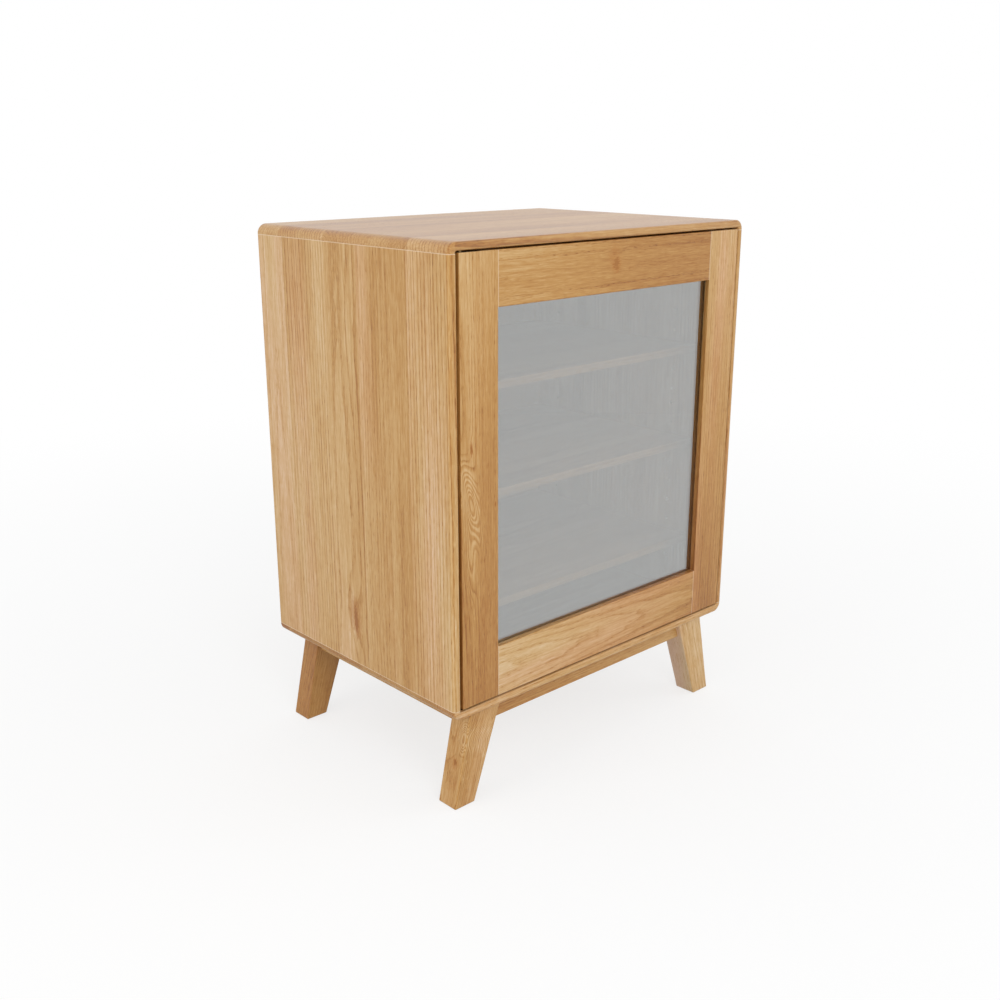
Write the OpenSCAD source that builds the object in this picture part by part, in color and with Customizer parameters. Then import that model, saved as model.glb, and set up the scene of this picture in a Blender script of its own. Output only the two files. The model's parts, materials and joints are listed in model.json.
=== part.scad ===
/* [Case] */
// Width over the two sides
case_w = 580; // [500:5:760]
// Depth from the front face to the back edge
case_d = 420; // [360:5:520]
// Height from the floor to the top
case_h = 770; // [740:5:900]
// Height of the underside of the case above the floor
case_lift = 142; // [120:2:180]
// Thickness of the top, the bottom and the two sides
board_t = 20; // [18:1:24]
// Radius of the four long outer corners
corner_r = 14; // [10:1:16]
// Radius of the upright front edges, seen from above
edge_r = 6; // [3:1:8]
// Width of the lip that shows round the door
lip_w = 11; // [10:0.5:13]
// Radius of the corners of the recess for the door
recess_r = 3; // [1:0.5:4]
// Diameter of the dowels in the case's corners
dowel_d = 8; // [6:1:10]
// How far the corner dowels go into the sides
dowel_in_side = 24; // [15:1:30]
// How far the corner dowels go into the top and bottom
dowel_in_board = 8; // [5:0.5:9]
// Number of dowels along each corner
dowel_n = 4; // [3:1:6]

/* [Back] */
// Thickness of the back panel
back_t = 6; // [4:0.5:9]
// How far the back panel lies in from the back edge
back_inset = 2; // [2:0.5:6]
// How far the back panel's rebate is cut into the boards
back_lap = 10; // [8:0.5:11]
// Diameter of the cable holes in the back
cable_d = 60; // [40:2:80]
// Height of the lower cable hole above the case's floor
cable_low_h = 180; // [150:5:220]
// Depth of the upper cable hole below the case's roof
cable_high_h = 88; // [60:2:110]

/* [Shelves] */
// Thickness of the shelves
shelf_t = 12; // [10:1:18]
// How far the shelves' front edges lie behind the front face
shelf_in = 63; // [40:1:90]
// Height of the lower shelf's top above the case's floor
shelf_low = 102; // [90:2:120]
// Height of the middle shelf's top above the case's floor
shelf_mid = 265; // [240:2:290]
// Height of the upper shelf's top above the case's floor
shelf_high = 416; // [400:2:430]
// Diameter of the shelf pins
pin_d = 5; // [4:0.5:7]
// How far a shelf pin goes into the side
pin_in = 9; // [7:0.5:12]
// How far a shelf pin stands out under its shelf
pin_out = 9; // [7:0.5:14]
// Distance between the pin holes in a row
pin_pitch = 32; // [24:1:32]
// Number of spare pin holes above and below each pin
pin_spare = 2; // [1:1:2]

/* [Door] */
// Thickness of the door's frame
door_t = 20; // [18:1:24]
// Gap between the door and the lip at the hinge side
gap_hinge = 4.5; // [4:0.5:6]
// Gap between the door and the lip at the latch side
gap_latch = 2; // [1.5:0.5:4]
// Gap over the door
gap_top = 2.3; // [1.5:0.1:4]
// Gap under the door
gap_bottom = 3.5; // [2.5:0.1:5]
// Gap between the door and the shoulder behind it
gap_back = 3; // [2:0.5:5]
// Width of the door's stiles
stile_w = 64; // [58:1:80]
// Height of the door's top rail
rail_high_h = 70.2; // [60:0.1:90]
// Height of the door's bottom rail
rail_low_h = 73; // [60:0.5:90]
// Length of the tenons on the door's rails
tenon_l = 26; // [20:1:30]
// Thickness of the tenons on the door's rails
tenon_t = 8; // [6:0.5:9]
// How far the tenons are set in from the edges of the rails
tenon_in = 4.6; // [4:0.2:8]
// How far the glass lies behind the front of the door
glass_set = 8; // [6:0.5:9]
// Thickness of the glass
glass_t = 4; // [3:0.5:5]
// How far the glass laps over the frame
glass_lap = 10; // [8:0.5:12]
// Length of the brads that hold the beads
brad_l = 18; // [14:1:22]

/* [Hinges] */
// Distance from the pivot to the door's edge and to its front face
pivot_in = 8; // [7:0.5:9]
// Diameter of the pivot pins
pivot_d = 5; // [4:0.5:6]
// How far a pivot pin goes into its bush
pivot_grip = 6; // [4:0.5:7]
// Outer diameter of the bushes
bush_d = 8; // [7:0.5:9]
// Length of the bushes
bush_l = 8; // [7:0.5:9]
// Length of the hinge leaves
leaf_l = 36; // [34:1:40]
// Width of the hinge leaves
leaf_w = 12; // [10:1:13]
// Thickness of the hinge leaves
leaf_t = 2.5; // [2:0.25:3]

/* [Latch] */
// Gap between the latch's screw plate and the case's side
latch_gap = 2; // [1:0.5:6]
// Distance from the case's roof down to the latch's axis
latch_drop = 7; // [6.5:0.5:8]
// Length of the latch's body
latch_l = 60; // [55:1:75]
// Width of the latch's body
latch_w = 12; // [11:1:14]
// Width of the latch's screw plate
latch_plate_w = 26; // [25:1:28]
// Diameter of the plunger
plunger_d = 7.8; // [6:0.2:8]
// Length of the plunger
plunger_l = 43; // [38:1:48]

/* [Base] */
// How far the legs' outer faces lie in from the case's sides at the top
leg_top_in = 39.7; // [30:0.1:60]
// Width of the legs at the top
leg_top_w = 55.6; // [50:0.1:70]
// How far the legs' outer faces lie in from the case's sides at the floor
foot_in = 9.5; // [0:0.5:25]
// Width of the legs at the floor
foot_w = 35.6; // [30:0.1:45]
// Thickness of the legs from front to back
leg_t = 36; // [32:1:44]
// How far the legs lie in from the front face and the back edge
leg_in = 12; // [4:1:30]
// Height of the rails between the legs
base_rail_h = 30; // [26:1:45]
// Thickness of the rails between the legs
base_rail_t = 20; // [16:1:24]
// How far the front and back rails lie behind the legs' outer faces
base_rail_set = 8; // [4:1:10]
// How far the side rails lie in from the case's sides
side_rail_in = 42; // [40:0.5:44]
// Length of the tenons on the base rails
base_tenon_l = 20; // [14:1:22]
// Diameter of the dowels in the tops of the legs
leg_dowel_d = 10; // [8:1:12]
// How far the leg dowels go into the legs
leg_dowel_in = 28; // [20:1:30]

/* [Hidden] */
$fn = 96;

oak = "#c9a06a";
oak_dark = "#b48a57";
steel = "#b9bcc0";
brass = "#b39248";
plastic = "#3a3a3c";
glass = "#a9b4b6";
board = "#a98a62";

// Clearance of a turning or sliding fit, on the radius
run_fit = 0.05;
// Clearance of glued and screwed pieces in their holes
glue_fit = 0.1;
// Clearance under or over a piece that rests on another
seat_gap = 0.2;
// How far a cutting shape runs past the face that it cuts
past = 5;
// Distance from a corner to the first dowel or screw of a row
row_end = 40;

half_w = case_w / 2;
half_d = case_d / 2;
front_y = -half_d;
inner_x = half_w - board_t;
floor_z = case_lift + board_t;
roof_z = case_h - board_t;
joint_low_z = case_lift + corner_r;
joint_high_z = case_h - corner_r;

recess_x = half_w - lip_w;
recess_y = front_y + door_t + gap_back;
recess_low_z = case_lift + lip_w;
recess_high_z = case_h - lip_w;

back_y = half_d - back_inset - back_t;
back_x = inner_x + back_lap;
back_low_z = floor_z - back_lap;
back_high_z = roof_z + back_lap;
back_gap = 0.5;
back_screw_r = 1.5;
back_screw_head_r = 3;
back_screw_head_h = 1.8;
back_screw_l = 16;
back_screws_up = 5;
back_screws_across = 4;
cable_lip = 3;
cable_lip_t = 1.5;
cable_wall = 3;

pin_flange_t = 0.8;
pin_flange_w = 1.5;
pin_flange_r = pin_d / 2 + pin_flange_w;
shelf_x = inner_x - pin_flange_t - seat_gap;
shelf_y0 = front_y + shelf_in;
shelf_back_gap = 2;
shelf_y1 = back_y - shelf_back_gap;
pin_end = 45;
pin_ys = [shelf_y0 + pin_end, shelf_y1 - pin_end];
shelf_tops = [floor_z + shelf_low, floor_z + shelf_mid, floor_z + shelf_high];

door_x0 = gap_hinge - recess_x;
door_x1 = recess_x - gap_latch;
door_z0 = recess_low_z + gap_bottom;
door_z1 = recess_high_z - gap_top;
door_y1 = front_y + door_t;
sight_x0 = door_x0 + stile_w;
sight_x1 = door_x1 - stile_w;
sight_z0 = door_z0 + rail_low_h;
sight_z1 = door_z1 - rail_high_h;
glass_y0 = front_y + glass_set;
glass_y1 = glass_y0 + glass_t;
glass_gap = 1;
bead_gap = 0.2;
brad_r = 0.7;
brad_end = 60;
brads_up = 4;
brads_across = 3;
bead_mid_y = (glass_y1 + door_y1) / 2;
tenon_y0 = front_y + (door_t - tenon_t) / 2;
bead_x0 = sight_x0 - glass_lap + bead_gap;
bead_x1 = sight_x1 + glass_lap - bead_gap;
bead_z0 = sight_z0 - glass_lap + bead_gap;
bead_z1 = sight_z1 + glass_lap - bead_gap;

pivot_x = door_x0 + pivot_in;
pivot_y = front_y + pivot_in;
pivot_r = pivot_d / 2;
leaf_end = 5.5;
leaf_x0 = pivot_x - leaf_end;
leaf_screw_r = 1.5;
leaf_screw_head_r = 3;
leaf_screw_l = 18;
leaf_screw_first = 15.5;
leaf_screw_pitch = 10.5;
leaf_screw_xs = [leaf_x0 + leaf_screw_first, leaf_x0 + leaf_screw_first + leaf_screw_pitch];
bush_flange_w = 1;
bush_flange_r = bush_d / 2 + bush_flange_w;

latch_x = inner_x - latch_gap - latch_plate_w / 2;
latch_z = roof_z - latch_drop;
latch_set = 2;
latch_y0 = recess_y + latch_set;
latch_wall = 4;
latch_plate_t = 3;
latch_plate_l = 30;
latch_screw_r = 1.5;
latch_screw_head_r = 2.8;
latch_screw_l = 14;
latch_screw_edge = 3.5;
latch_screw_x = latch_plate_w / 2 - latch_screw_edge;
latch_screw_points = [for (s = [-1, 1]) [latch_x + s * latch_screw_x, latch_y0 + latch_plate_l / 2]];
strike_t = 1.2;
strike_w = 22;
strike_h = 13;
strike_screw_r = 1.25;
strike_screw_head_r = 2.4;
strike_screw_l = 12;
strike_screw_x = 7.5;
strike_screw_xs = [latch_x - strike_screw_x, latch_x + strike_screw_x];
plunger_y0 = door_y1 + strike_t + seat_gap;
plunger_y1 = plunger_y0 + plunger_l;
bore_end_y = latch_y0 + latch_l - latch_wall;
plunger_wall = 1;
magnet_r = plunger_d / 2 - plunger_wall;
magnet_t = 3;
spring_gap = 0.5;
spring_r = plunger_d / 2 - spring_gap;
spring_wire = 0.9;

leg_y0 = front_y + leg_in;
leg_y1 = leg_y0 + leg_t;
leg_out_top = half_w - leg_top_in;
leg_in_top = leg_out_top - leg_top_w;
leg_out_foot = half_w - foot_in;
leg_in_foot = leg_out_foot - foot_w;
base_z0 = case_lift - base_rail_h;
long_rail_y0 = leg_y0 + base_rail_set;
side_rail_x1 = half_w - side_rail_in;
long_rail_y = long_rail_y0 + base_rail_t / 2;
side_rail_x = side_rail_x1 - base_rail_t / 2;
base_tenon_t = 8;
base_tenon_in = 6;
leg_dowel_x = (leg_in_top + base_tenon_l + side_rail_x - base_tenon_t / 2) / 2;
leg_dowel_y = (leg_y0 + leg_y1) / 2;
leg_dowel_up = 12;
base_screw_r = 2;
base_screw_head_r = 4;
base_screw_head_h = 3;
base_screw_sink = 8;
base_screw_up = 12;
base_screw_end = 50;
long_rail_screws = 3;
side_rail_screws = 2;

// n values evenly spread from a to b
function spread(a, b, n) = [for (k = [0:n - 1]) a + k * (b - a) / (n - 1)];

// The height of the pins' axes under a shelf whose top is at height t
function pin_z(t) = t - shelf_t - glue_fit - pin_d / 2;

// The leg's inner face at height z, for the legs on the right
function leg_in_at(z) = leg_in_top + (leg_in_foot - leg_in_top) * (case_lift - z) / case_lift;

dowel_ys = spread(recess_y + row_end, back_y - row_end, dowel_n);
back_screw_side_z = spread(floor_z + row_end, roof_z - row_end, back_screws_up);
back_screw_row_x = spread(row_end - inner_x, inner_x - row_end, back_screws_across);
back_screw_points = concat(
  [for (s = [-1, 1], z = back_screw_side_z) [s * (inner_x + back_lap / 2), z]],
  [for (x = back_screw_row_x, z = [floor_z - back_lap / 2, roof_z + back_lap / 2]) [x, z]]
);
cable_points = [[0, floor_z + cable_low_h], [0, roof_z - cable_high_h]];
brad_xs = spread(sight_x0 + brad_end, sight_x1 - brad_end, brads_across);
brad_zs = spread(sight_z0 + brad_end, sight_z1 - brad_end, brads_up);
long_screw_xs = spread(base_screw_end - leg_in_top, leg_in_top - base_screw_end, long_rail_screws);
side_screw_ys = spread(leg_y1 + base_screw_end, -leg_y1 - base_screw_end, side_rail_screws);
base_screw_points = concat(
  [for (s = [-1, 1], x = long_screw_xs) [x, s * long_rail_y]],
  [for (s = [-1, 1], y = side_screw_ys) [s * side_rail_x, y]]
);
brad_points = concat(
  [for (z = brad_zs) [sight_x0, z, -1, 0]],
  [for (z = brad_zs) [sight_x1, z, 1, 0]],
  [for (x = brad_xs) [x, sight_z0, 0, -1]],
  [for (x = brad_xs) [x, sight_z1, 0, 1]]
);

// A block between two corners
module block(x, y, z) {
  translate([x[0], y[0], z[0]])
    cube([x[1] - x[0], y[1] - y[0], z[1] - z[0]]);
}

// Rods of radius r that start at p and run l along an axis, backwards where l is negative
module rod_x(p, r, l) {
  translate([min(p.x, p.x + l), p.y, p.z])
    rotate([0, 90, 0])
      cylinder(r = r, h = abs(l));
}

module rod_y(p, r, l) {
  translate([p.x, max(p.y, p.y + l), p.z])
    rotate([90, 0, 0])
      cylinder(r = r, h = abs(l));
}

module rod_z(p, r, l) {
  translate([p.x, p.y, min(p.z, p.z + l)])
    cylinder(r = r, h = abs(l));
}

// A flat shape in x and z, made solid from y0 to y1
module along_y(y0, y1) {
  translate([0, y1, 0])
    rotate([90, 0, 0])
      linear_extrude(y1 - y0)
        children();
}

// A rectangle with round corners, from its lower left corner
module round_rect(w, h, r) {
  translate([r, 0]) square([w - 2 * r, h]);
  translate([0, r]) square([w, h - 2 * r]);
  for (x = [r, w - r], y = [r, h - r]) translate([x, y]) circle(r);
}

// A turned screw with a flat conical head: its face at the origin, its point up the Z axis.
// As a hole it is wider by the running fit and starts before the face
module flat_screw(r, head_r, l, hole = false) {
  fit = hole ? run_fit : 0;
  start = hole ? -past : 0;
  rotate_extrude()
    polygon([
      [0, start], [head_r + fit, start], [head_r + fit, 0],
      [r + fit, head_r - r], [r + fit, l + fit], [0, l + fit]
    ]);
}

// A turned screw with a raised head: its seat at the origin, its point up the Z axis
module pan_screw(r, head_r, head_h, l) {
  rotate_extrude()
    polygon([[0, -head_h], [head_r, -head_h], [head_r, 0], [r, 0], [r, l], [0, l]]);
}

// Both of a pair, left and right
module both_x() {
  children();
  mirror([1, 0, 0]) children();
}

// Both of a pair, front and back
module both_y() {
  children();
  mirror([0, 1, 0]) children();
}

// The outside of the case in plan, with its two upright front edges rounded
module case_plan() {
  translate([0, 0, -past])
    linear_extrude(case_h + 2 * past) {
      translate([-half_w, front_y + edge_r]) square([case_w, case_d - edge_r]);
      translate([edge_r - half_w, front_y]) square([case_w - 2 * edge_r, edge_r]);
      for (s = [-1, 1])
        translate([s * (half_w - edge_r), front_y + edge_r]) circle(edge_r);
    }
}

// The outside of the case seen from the front
module case_front() {
  translate([-half_w, case_lift]) round_rect(case_w, case_h - case_lift, corner_r);
}

// What is cut from the boards for the door and for the back panel
module case_cuts() {
  along_y(front_y - past, recess_y)
    translate([-recess_x, recess_low_z])
      round_rect(2 * recess_x, recess_high_z - recess_low_z, recess_r);
  block([-back_x, back_x], [back_y, half_d + past], [back_low_z, back_high_z]);
  for (p = back_screw_points)
    rod_y([p.x, back_y + past, p.y], back_screw_r + run_fit, back_t - back_screw_l - glue_fit - past);
}

// The dowels in the case's four corners; grow widens them for their holes
module dowel_rods(grow) {
  x = half_w - board_t / 2;
  r = dowel_d / 2 + grow;
  l = dowel_in_side + dowel_in_board + 2 * grow;
  for (y = dowel_ys) both_x() {
    rod_z([x, y, joint_high_z - dowel_in_side - grow], r, l);
    rod_z([x, y, joint_low_z - dowel_in_board - grow], r, l);
  }
}

module case_dowels() {
  color(oak_dark) dowel_rods(0);
}

// The top or bottom board: its round ends start at end_z, and what lies between the sides at z
module end_board(end_z, z) {
  intersection() {
    along_y(front_y, half_d) {
      intersection() {
        case_front();
        translate([-half_w, end_z]) square([case_w, corner_r]);
      }
      translate([-inner_x, z]) square([2 * inner_x, board_t]);
    }
    case_plan();
  }
}

module top_panel() {
  color(oak)
    difference() {
      end_board(joint_high_z, roof_z);
      case_cuts();
      dowel_rods(glue_fit);
      rod_z([pivot_x, pivot_y, recess_high_z - past], bush_d / 2 + run_fit, bush_l + glue_fit + past);
      for (p = latch_screw_points)
        rod_z([p.x, p.y, roof_z - latch_plate_t], latch_screw_r + run_fit, latch_screw_l + glue_fit);
    }
}

module bottom_panel() {
  color(oak)
    difference() {
      end_board(case_lift, case_lift);
      case_cuts();
      dowel_rods(glue_fit);
      rod_z([pivot_x, pivot_y, recess_low_z + past], bush_d / 2 + run_fit, -bush_l - glue_fit - past);
      leg_dowel_rods(glue_fit);
      base_screw_rods(run_fit);
    }
}

// The right side; the left one is its mirror image
module side() {
  difference() {
    intersection() {
      block([inner_x, half_w], [front_y, half_d], [joint_low_z, joint_high_z]);
      case_plan();
    }
    case_cuts();
    dowel_rods(glue_fit);
    for (t = shelf_tops, y = pin_ys, k = [-pin_spare:pin_spare])
      rod_x([inner_x - past, y, pin_z(t) + k * pin_pitch], pin_d / 2 + run_fit, past + pin_in + glue_fit);
  }
}

module side_left() {
  color(oak) mirror([1, 0, 0]) side();
}

module side_right() {
  color(oak) side();
}

module back_panel() {
  color(board)
    difference() {
      block(
        [back_gap - back_x, back_x - back_gap],
        [back_y, back_y + back_t],
        [back_low_z + back_gap, back_high_z - back_gap]
      );
      for (p = back_screw_points)
        rod_y([p.x, back_y - past, p.y], back_screw_r + run_fit, back_t + 2 * past);
      for (p = cable_points) rod_y([p.x, back_y - past, p.y], cable_d / 2, back_t + 2 * past);
    }
}

module back_screws() {
  color(steel)
    for (p = back_screw_points)
      translate([p.x, back_y + back_t, p.y])
        rotate([90, 0, 0])
          pan_screw(back_screw_r, back_screw_head_r, back_screw_head_h, back_screw_l);
}

module cable_grommets() {
  outer_r = cable_d / 2 - glue_fit;
  color(plastic)
    for (p = cable_points)
      difference() {
        union() {
          rod_y([p.x, back_y, p.y], outer_r, back_t + cable_lip_t);
          rod_y([p.x, back_y + back_t, p.y], outer_r + cable_lip, cable_lip_t);
        }
        rod_y([p.x, back_y - past, p.y], outer_r - cable_wall, back_t + 2 * past);
      }
}

module shelf(top) {
  color(oak) block([-shelf_x, shelf_x], [shelf_y0, shelf_y1], [top - shelf_t, top]);
}

module shelf_lower() {
  shelf(shelf_tops[0]);
}

module shelf_middle() {
  shelf(shelf_tops[1]);
}

module shelf_upper() {
  shelf(shelf_tops[2]);
}

module shelf_pins() {
  color(steel)
    for (t = shelf_tops, y = pin_ys) both_x() {
      rod_x([inner_x + pin_in, y, pin_z(t)], pin_d / 2, -pin_in - pin_out);
      rod_x([inner_x, y, pin_z(t)], pin_flange_r, -pin_flange_t);
    }
}

module hinge_bush_top() {
  color(brass)
    difference() {
      rod_z([pivot_x, pivot_y, recess_high_z], bush_d / 2, bush_l);
      rod_z([pivot_x, pivot_y, recess_high_z - past], pivot_r + run_fit, bush_l + 2 * past);
    }
}

// The bottom bush has a flange that carries the door's weight
module hinge_bush_bottom() {
  color(brass)
    difference() {
      union() {
        rod_z([pivot_x, pivot_y, recess_low_z], bush_d / 2, -bush_l);
        rod_z([pivot_x, pivot_y, recess_low_z], bush_flange_r, gap_bottom - seat_gap);
      }
      rod_z([pivot_x, pivot_y, door_z0 + past], pivot_r + run_fit, -bush_l - gap_bottom - 2 * past);
    }
}

module latch_body() {
  color(plastic)
    difference() {
      union() {
        block(
          [latch_x - latch_w / 2, latch_x + latch_w / 2],
          [latch_y0, latch_y0 + latch_l],
          [latch_z - latch_drop, roof_z]
        );
        block(
          [latch_x - latch_plate_w / 2, latch_x + latch_plate_w / 2],
          [latch_y0, latch_y0 + latch_plate_l],
          [roof_z - latch_plate_t, roof_z]
        );
      }
      rod_y([latch_x, latch_y0 - past, latch_z], plunger_d / 2 + run_fit, bore_end_y - latch_y0 + past);
      for (p = latch_screw_points)
        translate([p.x, p.y, roof_z - latch_plate_t])
          flat_screw(latch_screw_r, latch_screw_head_r, latch_screw_l, hole = true);
    }
}

module latch_screws() {
  color(steel)
    for (p = latch_screw_points)
      translate([p.x, p.y, roof_z - latch_plate_t])
        flat_screw(latch_screw_r, latch_screw_head_r, latch_screw_l);
}

// The spring at its closed length, as a plain sleeve
module latch_spring() {
  l = bore_end_y - plunger_y1 - 2 * seat_gap;
  start = [latch_x, plunger_y1 + seat_gap, latch_z];
  color(steel)
    difference() {
      rod_y(start, spring_r, l);
      rod_y(start - [0, past, 0], spring_r - spring_wire, l + 2 * past);
    }
}

module latch_plunger() {
  color(plastic)
    difference() {
      rod_y([latch_x, plunger_y0, latch_z], plunger_d / 2, plunger_l);
      rod_y([latch_x, plunger_y0 - past, latch_z], magnet_r + glue_fit, past + magnet_t);
    }
}

module latch_magnet() {
  color(steel) rod_y([latch_x, plunger_y0, latch_z], magnet_r, magnet_t);
}

// The front right leg; the others are its mirror images
module leg() {
  difference() {
    along_y(leg_y0, leg_y1)
      polygon([
        [leg_in_foot, 0], [leg_out_foot, 0], [leg_out_top, case_lift], [leg_in_top, case_lift]
      ]);
    long_rail_tenons(glue_fit);
    side_rail_tenons(glue_fit);
    leg_dowel_rods(glue_fit);
  }
}

module leg_front_left() {
  color(oak_dark) mirror([1, 0, 0]) leg();
}

module leg_front_right() {
  color(oak_dark) leg();
}

module leg_back_left() {
  color(oak_dark) mirror([1, 0, 0]) mirror([0, 1, 0]) leg();
}

module leg_back_right() {
  color(oak_dark) mirror([0, 1, 0]) leg();
}

// The dowels between the legs and the case
module leg_dowel_rods(grow) {
  both_x() both_y()
    rod_z(
      [leg_dowel_x, leg_dowel_y, case_lift - leg_dowel_in - grow],
      leg_dowel_d / 2 + grow,
      leg_dowel_in + leg_dowel_up + 2 * grow
    );
}

module leg_dowels() {
  color(oak) leg_dowel_rods(0);
}

// The tenons of the front rail; grow widens them for their mortises
module long_rail_tenons(grow) {
  tenon_x = leg_in_top + base_tenon_l + grow;
  block(
    [-tenon_x, tenon_x],
    [long_rail_y - base_tenon_t / 2 - grow, long_rail_y + base_tenon_t / 2 + grow],
    [base_z0 + base_tenon_in - grow, case_lift - base_tenon_in + grow]
  );
}

module rail_long() {
  difference() {
    union() {
      along_y(long_rail_y0, long_rail_y0 + base_rail_t)
        polygon([
          [-leg_in_at(base_z0), base_z0], [leg_in_at(base_z0), base_z0],
          [leg_in_top, case_lift], [-leg_in_top, case_lift]
        ]);
      long_rail_tenons(0);
    }
    base_screw_rods(run_fit);
  }
}

module rail_front() {
  color(oak_dark) rail_long();
}

module rail_back() {
  color(oak_dark) mirror([0, 1, 0]) rail_long();
}

// The tenons of the right side rail; grow widens them for their mortises
module side_rail_tenons(grow) {
  tenon_y = base_tenon_l - leg_y1 + grow;
  block(
    [side_rail_x - base_tenon_t / 2 - grow, side_rail_x + base_tenon_t / 2 + grow],
    [-tenon_y, tenon_y],
    [base_z0 + base_tenon_in - grow, case_lift - base_tenon_in + grow]
  );
}

module rail_side() {
  difference() {
    union() {
      block([side_rail_x1 - base_rail_t, side_rail_x1], [leg_y1, -leg_y1], [base_z0, case_lift]);
      side_rail_tenons(0);
    }
    base_screw_rods(run_fit);
  }
}

module rail_left() {
  color(oak_dark) mirror([1, 0, 0]) rail_side();
}

module rail_right() {
  color(oak_dark) rail_side();
}

// The screws that hold the base to the case; grow widens them for their holes
module base_screw_rods(grow) {
  seat_z = base_z0 + base_screw_sink;
  head_z = grow > 0 ? base_z0 - past : seat_z - base_screw_head_h;
  tip_z = case_lift + base_screw_up + grow;
  for (p = base_screw_points) {
    rod_z([p.x, p.y, head_z], base_screw_r + grow, tip_z - head_z);
    rod_z([p.x, p.y, head_z], base_screw_head_r + grow, seat_z - head_z);
  }
}

module base_screws() {
  color(steel) base_screw_rods(0);
}

// What is cut from the door's frame for the glass and its beads
module glass_cut() {
  block(
    [sight_x0 - glass_lap, sight_x1 + glass_lap],
    [glass_y0, door_y1 + past],
    [sight_z0 - glass_lap, sight_z1 + glass_lap]
  );
}

// The tenons of a door rail that spans z0 to z1; grow widens them for their mortises
module door_tenons(z0, z1, grow) {
  block(
    [sight_x0 - tenon_l - grow, sight_x1 + tenon_l + grow],
    [tenon_y0 - grow, tenon_y0 + tenon_t + grow],
    [z0 - grow, z1 + grow]
  );
}

module low_tenons(grow) {
  door_tenons(door_z0 + tenon_in, sight_z0 - glass_lap - tenon_in, grow);
}

module high_tenons(grow) {
  door_tenons(sight_z1 + glass_lap + tenon_in, door_z1 - tenon_in, grow);
}

// A leaf's plate at the top of the door; grow widens it for its bed, and over runs it past the top
module hinge_leaf_plate(grow = 0, over = 0) {
  block(
    [leaf_x0 - grow, leaf_x0 + leaf_l + grow],
    [pivot_y - leaf_w / 2 - grow, pivot_y + leaf_w / 2 + grow],
    [door_z1 - leaf_t, door_z1 + over]
  );
}

// What is cut from the hinge stile for a leaf and its screws, at the top of the door
module leaf_cut() {
  hinge_leaf_plate(run_fit, past);
  for (x = leaf_screw_xs)
    rod_z([x, pivot_y, door_z1], leaf_screw_r + run_fit, -leaf_screw_l - glue_fit);
}

module upside_down() {
  translate([0, 0, door_z0 + door_z1]) mirror([0, 0, 1]) children();
}

module brad_holes() {
  for (p = brad_points) brad(p, run_fit, past);
}

module door_stile_hinge() {
  color(oak)
    difference() {
      block([door_x0, sight_x0], [front_y, door_y1], [door_z0, door_z1]);
      glass_cut();
      low_tenons(glue_fit);
      high_tenons(glue_fit);
      leaf_cut();
      upside_down() leaf_cut();
      brad_holes();
    }
}

module door_stile_latch() {
  color(oak)
    difference() {
      block([sight_x1, door_x1], [front_y, door_y1], [door_z0, door_z1]);
      glass_cut();
      low_tenons(glue_fit);
      high_tenons(glue_fit);
      brad_holes();
      for (x = strike_screw_xs)
        rod_y([x, door_y1 + past, latch_z], strike_screw_r + run_fit, -past - strike_screw_l);
    }
}

module door_rail_top() {
  color(oak)
    difference() {
      union() {
        block([sight_x0, sight_x1], [front_y, door_y1], [sight_z1, door_z1]);
        high_tenons(0);
      }
      glass_cut();
      brad_holes();
    }
}

module door_rail_bottom() {
  color(oak)
    difference() {
      union() {
        block([sight_x0, sight_x1], [front_y, door_y1], [door_z0, sight_z0]);
        low_tenons(0);
      }
      glass_cut();
      brad_holes();
    }
}

module door_glass() {
  color(glass, 0.35)
    block(
      [sight_x0 - glass_lap + glass_gap, sight_x1 + glass_lap - glass_gap],
      [glass_y0, glass_y1],
      [sight_z0 - glass_lap + glass_gap, sight_z1 + glass_lap - glass_gap]
    );
}

// A bead with mitred ends, given by its four corners in x and z
module bead(corners) {
  color(oak)
    difference() {
      along_y(glass_y1, door_y1) polygon(corners);
      brad_holes();
    }
}

module bead_bottom() {
  bead([[bead_x0, bead_z0], [bead_x1, bead_z0], [sight_x1, sight_z0], [sight_x0, sight_z0]]);
}

module bead_top() {
  bead([[sight_x0, sight_z1], [sight_x1, sight_z1], [bead_x1, bead_z1], [bead_x0, bead_z1]]);
}

module bead_left() {
  bead([[bead_x0, bead_z0], [sight_x0, sight_z0], [sight_x0, sight_z1], [bead_x0, bead_z1]]);
}

module bead_right() {
  bead([[sight_x1, sight_z0], [bead_x1, bead_z0], [bead_x1, bead_z1], [sight_x1, sight_z1]]);
}

// A brad, given as [x, z, way in x, way in z] at the bead's inner face. As a hole it is wider
// by grow, and starts this far before the face
module brad(p, grow = 0, before = 0) {
  at = [p[0] - p[2] * before, bead_mid_y, p[1] - p[3] * before];
  l = before + brad_l + grow;
  if (p[2] != 0) rod_x(at, brad_r + grow, p[2] * l);
  if (p[3] != 0) rod_z(at, brad_r + grow, p[3] * l);
}

module bead_brads() {
  color(steel) for (p = brad_points) brad(p);
}

// A hinge leaf and its pin at the top of the door, with this gap over it
module hinge_leaf(gap) {
  color(brass)
    difference() {
      union() {
        hinge_leaf_plate();
        rod_z([pivot_x, pivot_y, door_z1 - leaf_t], pivot_r, leaf_t + gap + pivot_grip);
      }
      leaf_screws(hole = true);
    }
}

module leaf_screws(hole = false) {
  for (x = leaf_screw_xs)
    translate([x, pivot_y, door_z1])
      mirror([0, 0, 1])
        flat_screw(leaf_screw_r, leaf_screw_head_r, leaf_screw_l, hole);
}

module hinge_leaf_top() {
  hinge_leaf(gap_top);
}

module hinge_leaf_bottom() {
  upside_down() hinge_leaf(gap_bottom);
}

module hinge_screws() {
  color(steel) {
    leaf_screws();
    upside_down() leaf_screws();
  }
}

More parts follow.
